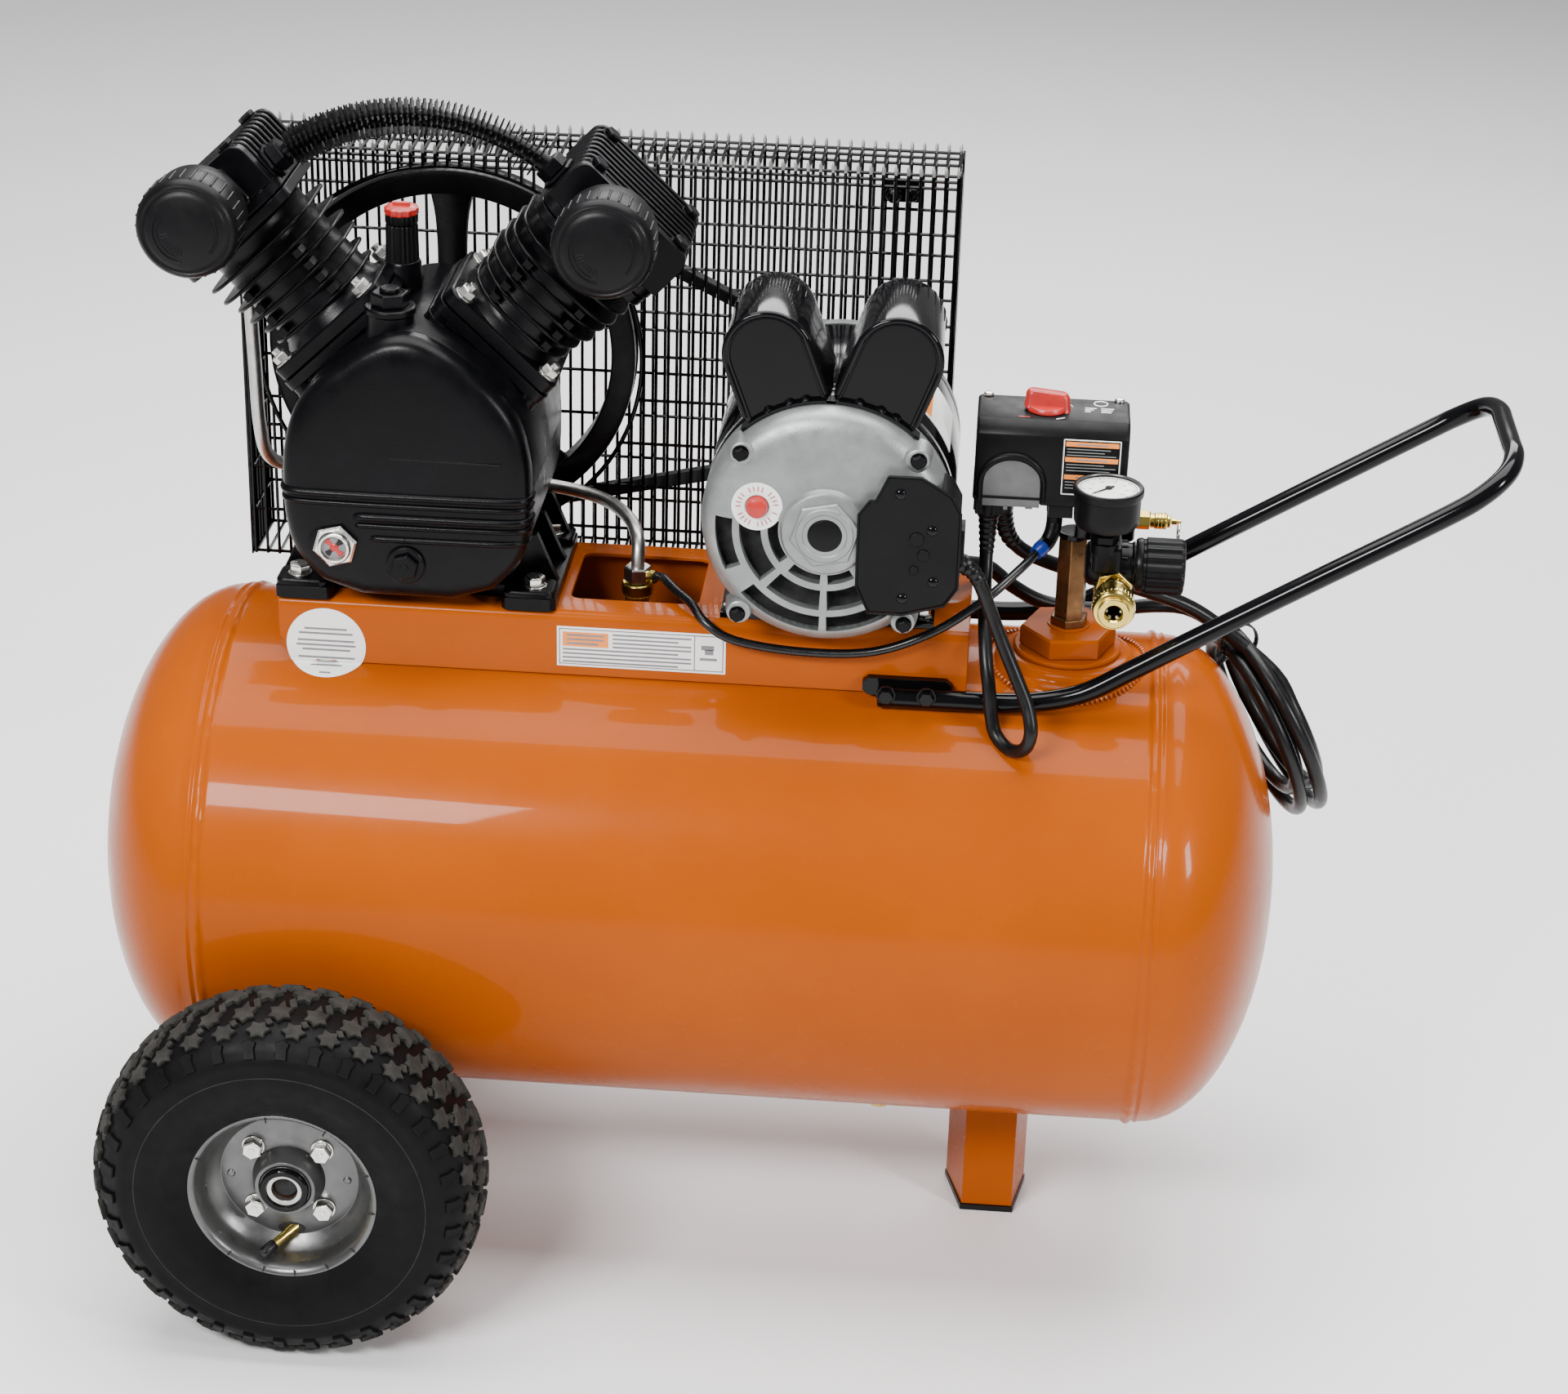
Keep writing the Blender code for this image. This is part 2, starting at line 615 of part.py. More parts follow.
def build_crank_train():
    pivot = (PUMP_X, DRIVE_Y, PUMP_Z)
    shaft = make("crankshaft", rod(CRANK_R, 2.0, 136.0, "Y", (PUMP_X, 0.0, PUMP_Z), 20),
                 "steel", pivot)
    web = [(0.0, 40.0), (22.0, 34.0), (34.0, 10.0), (44.0, -16.0), (34.0, -34.0),
           (0.0, -44.0)]
    web += [(-a, b) for a, b in reversed(web) if a > 0.0]
    join(shaft,
         prism([(PUMP_X + a * 0.9, PUMP_Z + b * 0.9) for a, b in web], -10.0, 8.0, "Y"),
         rod(12.0, -44.0, -6.0, "Y", (PUMP_X, 0.0, PUMP_Z + CRANK_THROW), 20))
    lo = DRIVE_Y - 12.5
    hi = DRIVE_Y + 12.5
    deep = FLY_PITCH_R - 6.0
    rim = [(116.0, lo), (FLY_R, lo), (FLY_R, DRIVE_Y - 7.5), (deep, DRIVE_Y - 5.0),
           (deep, DRIVE_Y + 5.0), (FLY_R, DRIVE_Y + 7.5), (FLY_R, hi), (116.0, hi)]
    wheel = make("flywheel", turned(rim, 36, "Y", (PUMP_X, 0.0, PUMP_Z)), "black_cast", pivot)
    arms = []
    for k in range(5):
        a = math.radians(90.0 + 72.0 * k)
        turn = Matrix.Rotation(-a, 3, "Y")
        points, faces = block(14.0, 120.0, -12.0, 12.0, -5.0, 5.0)
        tilt = Matrix.Rotation(math.radians(62.0), 3, "X")
        arms.append(([turn @ (tilt @ Vector(p)) + Vector((PUMP_X, DRIVE_Y, PUMP_Z))
                      for p in points], faces))
    hub = rod(27.0, 103.0, 134.0, "Y", (PUMP_X, 0.0, PUMP_Z), 20)
    join(wheel, hub, *arms)
    cut(wheel, rod(CRANK_R + GAP, 80.0, 150.0, "Y", (PUMP_X, 0.0, PUMP_Z), 20))


def belt_path(fly_r, pulley_r, arc_fly, arc_pulley):
    """The loop of a belt round both pulleys, as (x, z) points."""
    a = Vector((PUMP_X, PUMP_Z))
    b = Vector((MOTOR_X, MOTOR_Z))
    line = b - a
    base = math.atan2(line.y, line.x)
    lean = math.acos((fly_r - pulley_r) / line.length)
    loop = []
    for k in range(arc_fly + 1):
        t = base + lean + (2.0 * math.pi - 2.0 * lean) * k / arc_fly
        loop.append((a.x + fly_r * math.cos(t), a.y + fly_r * math.sin(t)))
    for k in range(arc_pulley + 1):
        t = base - lean + 2.0 * lean * k / arc_pulley
        loop.append((b.x + pulley_r * math.cos(t), b.y + pulley_r * math.sin(t)))
    return loop


def build_belt():
    inner = belt_path(FLY_PITCH_R - 5.0, PULLEY_PITCH_R - 5.0, 24, 10)
    outer = belt_path(FLY_PITCH_R + 4.0, PULLEY_PITCH_R + 4.0, 24, 10)
    half_in = 4.0
    half_out = BELT_W / 2.0
    corners = ((inner, -half_in), (outer, -half_out), (outer, half_out), (inner, half_in))
    points = []
    for i in range(len(inner)):
        for loop, y in corners:
            points.append((loop[i][0], DRIVE_Y + y, loop[i][1]))
    faces = []
    count = len(inner)
    for i in range(count):
        a = 4 * i
        b = 4 * ((i + 1) % count)
        for k in range(4):
            m = (k + 1) % 4
            faces.append((a + k, a + m, b + m, b + k))
    make("drive_belt", (points, faces), "rubber")


def build_motor():
    c = (MOTOR_X, 0.0, MOTOR_Z)
    r = MOTOR_R
    shell_loop = [(r - 4.0, -78.0), (r, -78.0), (r, 60.0), (r - 4.0, 60.0)]
    shell = make("motor_shell", turned(shell_loop, 28, "Y", c), "black_gloss")
    foot_low = SADDLE_TOP + GAP
    seat = [(MOTOR_X - 58.0, foot_low), (MOTOR_X + 58.0, foot_low),
            (MOTOR_X + 58.0, foot_low + 4.0), (MOTOR_X + 50.0, foot_low + 30.0),
            (MOTOR_X - 50.0, foot_low + 30.0), (MOTOR_X - 58.0, foot_low + 4.0)]
    base = (prism(seat, -56.0, -50.0, "Y"), prism(seat, 44.0, 50.0, "Y"),
            block(MOTOR_X - 74.0, MOTOR_X + 74.0, -58.0, 54.0, foot_low, foot_low + 4.0))
    join(shell, *base)
    cut(shell, rod(r - 4.0, -100.0, 100.0, "Y", c, 28))
    bell = [(22.0, -101.0), (22.0, -119.0), (30.0, -119.0), (34.0, -114.0), (70.0, -114.0),
            (79.0, -111.0), (84.6, -104.0), (84.6, -78.0 - GAP), (78.0, -78.0 - GAP),
            (78.0, -101.0)]
    front = make("bell_front", turned(bell, 28, "Y", c), "grey_bell")
    cut(front, rod(8.3, -130.0, -90.0, "Y", (51.0, 0.0, 610.5), 16))
    back = [(16.0, 78.0), (16.0, 88.0), (26.0, 88.0), (30.0, 84.0), (66.0, 84.0),
            (79.0, 78.0), (84.4, 70.0), (84.4, 60.0 + GAP), (78.0, 60.0 + GAP), (78.0, 78.0)]
    make("bell_rear", turned(back, 28, "Y", c), "grey_bell")
    shaft = make("rotor_shaft", rod(SHAFT_R, -110.0, 131.0, "Y", c, 20), "steel",
                 (MOTOR_X, DRIVE_Y, MOTOR_Z))
    join(shaft, rod(50.0, -50.0, 44.0, "Y", c, 20))
    lo = DRIVE_Y - 11.0
    hi = DRIVE_Y + 11.0
    deep = PULLEY_PITCH_R - 6.0
    rim = [(SHAFT_R + GAP, lo), (PULLEY_R, lo), (PULLEY_R, DRIVE_Y - 7.5),
           (deep, DRIVE_Y - 5.0), (deep, DRIVE_Y + 5.0), (PULLEY_R, DRIVE_Y + 7.5),
           (PULLEY_R, hi), (SHAFT_R + GAP, hi)]
    make("motor_pulley", turned(rim, 22, "Y", c), "black_cast", (MOTOR_X, DRIVE_Y, MOTOR_Z))
    for name, side in (("left", -1), ("right", 1)):
        build_capacitor_cover(name, side)
    cover = [(119.0, 560.0), (119.0, 612.0), (126.0, 622.0), (130.0, 622.0), (138.0, 640.0),
             (160.0, 640.0), (180.0, 628.0), (186.5, 616.0), (186.5, 562.0), (178.0, 549.0),
             (150.0, 541.0), (128.0, 541.0)]
    box = make("terminal_cover", prism(cover, -122.0, -86.0, "Y"), "black_plastic")
    cut(box, rod(r + 0.8, -119.0 - GAP, -60.0, "Y", c, 28))
    button = (51.0, 0.0, 610.5)
    knob = [(0.0, -120.0), (6.5, -120.0), (7.6, -118.5), (7.6, -103.0), (0.0, -103.0)]
    make("reset_button", turned(knob, 14, "Y", button), "red_plastic",
         (51.0, -112.0, 610.5))


def build_capacitor_cover(name, side):
    """A tunnel-shaped cover standing on the shell, leaning away from the middle."""
    half = 29.0
    rise = 123.0
    lean = math.radians(20.5) * side
    outline = [(half, 70.0)]
    for k in range(9):
        a = math.pi * k / 8
        outline.append((half * math.cos(a), rise + half * math.sin(a)))
    outline.append((-half, 70.0))
    turn = Matrix.Rotation(lean, 3, "Y")
    rings = []
    for scale, y in ((0.86, -96.0), (0.97, -93.0), (1.0, -88.0), (1.0, -22.0), (0.95, -8.0),
                     (0.84, 5.0)):
        ring = []
        for a, b in outline:
            p = turn @ Vector((a * scale, y, 95.0 + (b - 95.0) * scale if b > 95.0 else b))
            ring.append(p + Vector((MOTOR_X, 0.0, MOTOR_Z)))
        rings.append(ring)
    cover = make("capacitor_" + name, layers(rings), "black_gloss")
    cut(cover, rod(MOTOR_R + 0.6, -140.0, 100.0, "Y", (MOTOR_X, 0.0, MOTOR_Z), 28))


def lattice(x_lines, z_lines, y0, y1):
    """A flat grid of square bars: lines are (low, high) spans along X and along Z."""
    xs = sorted({v for span in x_lines for v in span})
    zs = sorted({v for span in z_lines for v in span})

    def solid(i, j):
        bar_x = any(a <= xs[i] and xs[i + 1] <= b for a, b in x_lines)
        bar_z = any(a <= zs[j] and zs[j + 1] <= b for a, b in z_lines)
        return bar_x or bar_z

    points = []
    index = {}

    def corner(i, j, y):
        key = (i, j, y)
        if key not in index:
            index[key] = len(points)
            points.append((xs[i], y, zs[j]))
        return index[key]

    faces = []
    for i in range(len(xs) - 1):
        for j in range(len(zs) - 1):
            if not solid(i, j):
                continue
            loop = ((i, j), (i + 1, j), (i + 1, j + 1), (i, j + 1))
            faces.append(tuple(corner(a, b, y0) for a, b in loop))
            faces.append(tuple(corner(a, b, y1) for a, b in reversed(loop)))
            sides = (((i, j), (i + 1, j), (i, j - 1)), ((i + 1, j), (i + 1, j + 1), (i + 1, j)),
                     ((i + 1, j + 1), (i, j + 1), (i, j + 1)), ((i, j + 1), (i, j), (i - 1, j)))
            for a, b, (ni, nj) in sides:
                inside = 0 <= ni < len(xs) - 1 and 0 <= nj < len(zs) - 1
                if inside and solid(ni, nj):
                    continue
                faces.append((corner(*a, y0), corner(*a, y1), corner(*b, y1), corner(*b, y0)))
    return points, faces


def spans(low, high, count, width):
    """Evenly spaced bars of one width from low to high."""
    pitch = (high - low - width) / (count - 1)
    return [(round(low + k * pitch, 3), round(low + k * pitch + width, 3))
            for k in range(count)]


def build_guard():
    w = GUARD_WIRE
    verticals = spans(GUARD_X0, GUARD_X1, 10, w)
    levels = spans(GUARD_Z0, GUARD_Z1, 4, w)
    rear = make("guard_rear", lattice(verticals, levels, GUARD_Y1 - w, GUARD_Y1),
                "black_gloss")
    join(rear, block(GUARD_X0, GUARD_X1, GUARD_Y0 + w + GAP, GUARD_Y1 - 0.5, GUARD_Z1 - w,
                     GUARD_Z1),
         block(GUARD_X0, GUARD_X0 + w, GUARD_Y0 + w + GAP, GUARD_Y1 - 0.5, GUARD_Z0,
               GUARD_Z1 - 0.5),
         block(GUARD_X1 - w, GUARD_X1, GUARD_Y0 + w + GAP, GUARD_Y1 - 0.5, GUARD_Z0,
               GUARD_Z1 - 0.5),
         block(GUARD_X0 + 1, GUARD_X1 - 1, GUARD_Y0 + w + GAP, GUARD_Y1 - 0.5, GUARD_Z0,
               GUARD_Z0 + w))
    front = make("guard_front", lattice(verticals, levels, GUARD_Y0, GUARD_Y0 + w),
                 "black_gloss")
    flange = SADDLE_HALF_W + GAP
    for x in (-250.0, -5.0, 105.0):
        join(front, block(x - 12.0, x + 12.0, flange, flange + 3.0, 462.5, 492.0),
             block(x - 12.0, x + 12.0, flange, GUARD_Y0 + 1.0, 462.5, 465.5))
    cut(front, rod(140.0, 80.0, 120.0, "Y", (PUMP_X, 0.0, PUMP_Z), 36),
        rod(45.0, 80.0, 120.0, "Y", (MOTOR_X, 0.0, MOTOR_Z), 20))


# ---------------------------------------------------------------- controls

def build_switch():
    x0, x1 = 193.0, 297.0
    y0, y1 = -38.0, 18.0
    side = [(y0, 590.0), (y1, 590.0), (y1, 650.0), (y0 + 9.0, 650.0), (y0, 641.0)]
    body = make("switch_body", prism(side, x0, x1, "X"), "black_plastic")
    join(body, rod(10.0, 577.0, 592.0, "Z", (204.5, -26.0, 0.0), 14),
         rod(10.0, 577.0, 592.0, "Z", (214.0, 0.0, 0.0), 14),
         rod(6.0, 578.0, 592.0, "Z", (250.0, -16.0, 0.0), 12))
    knob = (240.0, -10.0, 0.0)
    turn = make("switch_knob", rod(14.0, 650.0 + GAP, 655.0, "Z", knob, 18), "red_plastic",
                (240.0, -10.0, 650.0))
    join(turn, block(225.0, 255.0, -15.0, -5.0, 653.0, 665.0))


def build_manifold():
    x, y = 273.0, -8.0
    pipe = make("riser_pipe", rod(8.2, 475.0, 562.0, "Z", (OUTLET_X, OUTLET_Y, 0.0), 20),
                "steel")
    join(pipe, hexagon(21.0, 490.0 + GAP, 498.0, "Z", (OUTLET_X, OUTLET_Y, 0.0)),
         block(264.0, 306.0, -24.0, 8.0, 560.0, 582.0),
         rod(6.0, 580.0, 590.0 - GAP, "Z", (x, y, 0.0), 12))
    body = make("regulator_body", rod(16.0, 272.0, 306.0, "X", (0.0, -44.0, 553.0), 20),
                "black_cast")
    join(body, rod(9.0, -34.0, -24.0 - GAP, "Y", (284.0, 0.0, 566.0), 12),
         block(276.0, 296.0, -70.0, -30.0, 556.0, 574.0),
         rod(7.0, 570.0, 586.0, "Z", (284.0, -63.0, 0.0), 12),
         hexagon(24.0, -62.0, -50.0, "Y", (292.0, 0.0, 541.0)))
    ribs = 18
    ring = []
    for k in range(2 * ribs):
        a = math.pi * k / ribs
        r = 19.5 if k % 2 else 18.3
        ring.append((r * math.cos(a), r * math.sin(a)))
    knob = [[(t, -44.0 + a * s, 553.0 + b * s) for a, b in ring]
            for s, t in ((0.9, 306.0 + GAP), (1.0, 308.0), (1.0, 338.0), (0.93, 340.0))]
    make("regulator_knob", layers(knob), "black_plastic", (322.0, -44.0, 553.0))
    dial = [(0.0, 586.0 + GAP), (17.0, 586.0 + GAP), (22.0, 589.0), (22.5, 612.0),
            (23.8, 612.5), (23.8, 617.5), (21.5, 618.0), (21.5, 615.5), (0.0, 615.5)]
    make("gauge", turned(dial, 28, "Z", (284.0, -63.0, 0.0)), "black_cast")
    hub = (284.0, -63.0, 616.0)
    aim = Matrix.Rotation(math.radians(135.0), 3, "Z")
    arrow = [aim @ Vector(p) for p in ((-1.3, -4.0, 0.0), (1.3, -4.0, 0.0), (0.5, 16.0, 0.0),
                                       (-0.5, 16.0, 0.0))]
    arrow = [(hub[0] + p.x, hub[1] + p.y) for p in arrow]
    needle = make("gauge_needle", prism(arrow, 616.0, 616.7), "red_plastic", hub)
    join(needle, rod(2.4, 615.5 + GAP, 617.2, "Z", (hub[0], hub[1], 0.0), 12))
    valve = make("safety_valve", hexagon(11.0, 306.0 + GAP, 316.0, "X", (0.0, -12.0, 573.0)),
                 "brass")
    join(valve, rod(5.2, 315.0, 330.0, "X", (0.0, -12.0, 573.0), 14))
    pull = make("safety_ring", rod(2.2, 330.0 + GAP, 335.0, "X", (0.0, -12.0, 573.0), 10),
                "steel", (330.0, -12.0, 573.0))
    hoop = []
    for k in range(17):
        a = 2.0 * math.pi * k / 16
        hoop.append((336.0, -12.0 + 9.0 * math.sin(a), 563.5 + 9.0 * math.cos(a)))
    join(pull, ring_tube(hoop[:-1], 1.3, 6))
    axis = (292.0, 0.0, 541.0)
    core = [(5.2, -62.0 - GAP), (10.5, -62.0 - GAP), (10.5, -68.5), (8.5, -69.5),
            (8.5, -98.0), (11.0, -99.0), (11.0, -102.0), (5.2, -102.0)]
    make("coupler_body", turned(core, 20, "Y", axis), "brass")
    sleeve = [(8.8, -75.0), (13.5, -75.0), (14.0, -80.0), (12.5, -83.0), (14.5, -87.0),
              (14.5, -95.0), (13.5, -98.0), (8.8, -98.0)]
    make("coupler_sleeve", turned(sleeve, 20, "Y", axis),
         "brass", (292.0, -86.0, 541.0))


def ring_tube(loop, radius, sides):
    """A closed hoop of round wire through a loop of points."""
    loop = [Vector(p) for p in loop]
    count = len(loop)
    centre = sum(loop, Vector()) / count
    normal = (loop[0] - centre).cross(loop[count // 4] - centre).normalized()
    points = []
    for i, p in enumerate(loop):
        ahead = (loop[(i + 1) % count] - loop[i - 1]).normalized()
        out = normal.cross(ahead)
        for k in range(sides):
            a = 2.0 * math.pi * k / sides
            points.append(p + out * (radius * math.cos(a)) + normal * (radius * math.sin(a)))
    faces = []
    for i in range(count):
        a = i * sides
        b = ((i + 1) % count) * sides
        for k in range(sides):
            m = (k + 1) % sides
            faces.append((a + k, a + m, b + m, b + k))
    return points, faces


# ---------------------------------------------------------------- tubes and cords

COIL_CENTRE = (414.5, 68.0, 391.0)
COIL_LONG = (33.5, -40.0, -39.5)
COIL_SHORT = (5.0, 43.0, -47.0)
COIL_R = 13.0
CORD_R = 5.3


def build_lines():
    tube = [(-29.0, -3.0, 505.0), (-22.0, -13.0, 510.0), (-11.0, -32.0, 509.5),
            (3.0, -54.0, 509.0), (13.0, -69.0, 503.5), (34.0, -74.0, 493.0),
            (80.0, -74.0, 487.0), (130.0, -74.0, 490.0), (172.0, -72.0, 507.0),
            (205.0, -66.0, 530.0), (228.0, -47.0, 546.0), (244.0, -25.0, 556.0),
            (249.5, -17.5, 565.0), (250.0, -16.0, 576.8)]
    make("unloader_tube", swept(smooth_path(tube, 18.0), 3.2, 8), "black_plastic")
    lead = [(190.4, -97.0, 568.0), (200.0, -97.0, 562.0), (211.0, -97.0, 532.0),
            (228.0, -100.0, 492.0), (240.0, -108.0, 464.0), (243.0, -114.0, 448.0),
            (236.0, -117.0, 438.5), (224.0, -114.0, 442.0), (216.0, -107.0, 456.0),
            (211.0, -98.0, 480.0), (207.0, -78.0, 502.0), (205.0, -50.0, 522.0),
            (204.5, -31.0, 543.0), (204.5, -26.5, 560.0), (204.5, -26.0, 575.8)]
    make("motor_lead", swept(smooth_path(lead, 16.0), 4.8, 8), "rubber")
    c = Vector(COIL_CENTRE)
    a = Vector(COIL_LONG)
    b = Vector(COIL_SHORT)
    loop = [c + a * math.cos(2 * math.pi * k / 22) + b * math.sin(2 * math.pi * k / 22)
            for k in range(22)]
    make("cord_coil", ring_tube(loop, COIL_R, 8), "rubber")
    run = [(214.0, 0.0, 575.8), (216.0, 2.0, 560.0), (226.0, 8.0, 541.0),
           (244.0, 15.0, 528.0), (266.0, 22.0, 518.0), (292.0, 29.0, 508.0),
           (322.0, 38.0, 497.0), (352.0, 45.0, 484.0), (380.0, 44.5, 466.5)]
    free_cord("cord_run", smooth_path(run, 11.0), CORD_R, "rubber")
    tail = [(363.0, 99.0, 456.0), (336.0, 90.0, 461.0), (305.0, 67.0, 469.0),
            (275.0, 54.0, 473.0), (240.0, 48.0, 480.0), (215.0, 40.0, 503.0),
            (202.0, 29.0, 517.0), (190.0, 17.0, 521.0)]
    free_cord("cord_tail", smooth_path(tail, 12.0), CORD_R, "rubber")
    heading = Vector((-20.0, -20.0, 0.5)).normalized()
    start = Vector(tail[-1]) + heading * 1.2
    plug_path = [start + heading * d for d in (0.0, 6.0, 16.0, 20.0, 42.0)]
    make("power_plug", swept(plug_path, 10.0, 12, (7.0, 8.0, 12.0, 13.5, 13.5)), "rubber")


build_tank()
build_saddle()
build_foot()
build_wheel_bracket()
build_wheel("near", -1)
build_wheel("far", 1)
build_ports()
build_handle()
build_crankcase()
build_bank("left", -1)
build_bank("right", 1)
build_pump_tubes()
build_crank_train()
build_belt()
build_motor()
build_guard()
build_switch()
build_manifold()
build_lines()
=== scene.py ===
"""Looks of the twin stack compressor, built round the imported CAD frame.

Every size below is in millimetres in the tank's own frame, where X = 0 is the tank's middle.
at() turns such a point into the row frame, in metres.
"""

import json
import math
import random

import bmesh
import bpy
from mathutils import Matrix, Vector

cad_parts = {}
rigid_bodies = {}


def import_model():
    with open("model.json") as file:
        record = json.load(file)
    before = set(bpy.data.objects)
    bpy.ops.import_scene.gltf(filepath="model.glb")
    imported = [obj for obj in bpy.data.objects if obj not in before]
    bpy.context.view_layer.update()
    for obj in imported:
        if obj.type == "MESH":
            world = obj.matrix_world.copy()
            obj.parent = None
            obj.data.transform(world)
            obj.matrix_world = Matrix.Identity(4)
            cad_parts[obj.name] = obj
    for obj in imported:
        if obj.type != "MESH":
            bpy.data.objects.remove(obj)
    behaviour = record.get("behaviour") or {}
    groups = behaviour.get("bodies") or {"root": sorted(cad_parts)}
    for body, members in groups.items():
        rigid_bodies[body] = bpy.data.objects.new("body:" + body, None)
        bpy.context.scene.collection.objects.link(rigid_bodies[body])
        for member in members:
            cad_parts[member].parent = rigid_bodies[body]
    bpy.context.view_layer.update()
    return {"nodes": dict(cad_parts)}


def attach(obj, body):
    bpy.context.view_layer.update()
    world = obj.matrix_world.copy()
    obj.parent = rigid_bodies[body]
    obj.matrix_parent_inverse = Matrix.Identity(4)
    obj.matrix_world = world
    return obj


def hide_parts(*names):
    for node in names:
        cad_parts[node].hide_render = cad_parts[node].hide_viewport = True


for old in list(bpy.data.objects):
    bpy.data.objects.remove(old, do_unlink=True)
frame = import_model()

MM = 0.001
CENTRE_X = 67.46  # the row frame's X = 0, counted from the tank's middle
AXIS_Z = 286.5  # tank axis
TANK_R = 178
PUMP = (-190, 0, 628)
V_ANGLE = math.radians(43.5)
MOTOR = (97, 0, 595)
DRIVE_Y = 118
COIL_CENTRE = (414.5, 68, 391)
COIL_LONG = (33.5, -40, -39.5)
COIL_SHORT = (5, 43, -47)
CORD_R = 5.3
LEAD_R = 4.8


def at(point):
    """A point of the tank's frame in the row frame."""
    return Vector(((point[0] - CENTRE_X) * MM, point[1] * MM, point[2] * MM))


# ------------------------------------------------------------------ materials

class Nodes:
    """Short names for building one Principled material."""

    def __init__(self, name, colour, roughness, metallic=0):
        self.mat = bpy.data.materials.new(name)
        self.mat.use_nodes = True
        self.tree = self.mat.node_tree
        self.shader = self.tree.nodes["Principled BSDF"]
        self.set(**{"Base Color": (*colour, 1), "Roughness": roughness, "Metallic": metallic})
        self.coords = self.tree.nodes.new("ShaderNodeTexCoord").outputs["Object"]
        self.mat.diffuse_color = (*colour, 1)

    def set(self, **values):
        for key, value in values.items():
            self.shader.inputs[key].default_value = value

    def noise(self, size, detail=4, rough=0.55):
        """Noise whose features are about `size` millimetres across."""
        node = self.tree.nodes.new("ShaderNodeTexNoise")
        for socket, value in (("Scale", 1000 / size), ("Detail", detail), ("Roughness", rough)):
            node.inputs[socket].default_value = value
        self.tree.links.new(self.coords, node.inputs["Vector"])
        return node.outputs["Fac"]

    def tint(self, fac, colours, stops=(0.35, 0.65)):
        """Colour the surface by a factor, from the first colour to the last."""
        node = self.tree.nodes.new("ShaderNodeValToRGB")
        ramp = node.color_ramp
        ramp.elements[0].position, ramp.elements[1].position = stops[0], stops[-1]
        ramp.elements[0].color = (*colours[0], 1)
        ramp.elements[1].color = (*colours[-1], 1)
        for stop, colour in zip(stops[1:-1], colours[1:-1]):
            ramp.elements.new(stop).color = (*colour, 1)
        self.tree.links.new(fac, node.inputs["Fac"])
        self.tree.links.new(node.outputs["Color"], self.shader.inputs["Base Color"])

    def rough(self, fac, low, high):
        """Let the roughness run from low to high with a factor."""
        node = self.tree.nodes.new("ShaderNodeMapRange")
        for socket, value in (("From Min", 0.3), ("From Max", 0.7), ("To Min", low), ("To Max", high)):
            node.inputs[socket].default_value = value
        self.tree.links.new(fac, node.inputs["Value"])
        self.tree.links.new(node.outputs["Result"], self.shader.inputs["Roughness"])

    def bump(self, fac, depth, strength=1, before=None):
        """Raise the surface by a factor; depth is in millimetres."""
        node = self.tree.nodes.new("ShaderNodeBump")
        node.inputs["Distance"].default_value = depth * MM
        node.inputs["Strength"].default_value = strength
        self.tree.links.new(fac, node.inputs["Height"])
        if before:
            self.tree.links.new(before, node.inputs["Normal"])
        self.tree.links.new(node.outputs["Normal"], self.shader.inputs["Normal"])
        return node.outputs["Normal"]


def scaled(colour, k):
    return tuple(min(1, c * k) for c in colour)


def surface(name, colour, rough, metallic, vary, patch, grain, depth, strength, specular):
    """A Principled material with patchy colour and roughness and a fine bumpy grain."""
    n = Nodes(name, colour, rough, metallic)
    n.tint(n.noise(patch, 5), (scaled(colour, 1 - vary), colour, scaled(colour, 1 + vary)),
        (0.3, 0.5, 0.7))
    n.rough(n.noise(patch * 0.35, 6), rough * 0.82, min(1, rough * 1.22))
    n.bump(n.noise(grain, 3), depth, strength)
    n.set(**{"Specular IOR Level": specular})
    return n


def orange_paint():
    """Sprayed gloss enamel: orange peel under a clear, shiny film."""
    base = (0.31, 0.056, 0)
    n = Nodes("orange_paint", base, 0.24)
    n.tint(n.noise(140, 5), (scaled(base, 0.94), base, (0.33, 0.061, 0)), (0.3, 0.5, 0.7))
    n.rough(n.noise(30, 6), 0.2, 0.3)
    peel = n.bump(n.noise(7, 1.5, rough=0.4), 0.10, 0.55)
    n.bump(n.noise(1.6, 2), 0.02, 0.5, before=peel)
    n.set(**{"Coat Weight": 0.18, "Coat Roughness": 0.04, "Coat IOR": 1.36, "Specular IOR Level": 0.04})
    return n


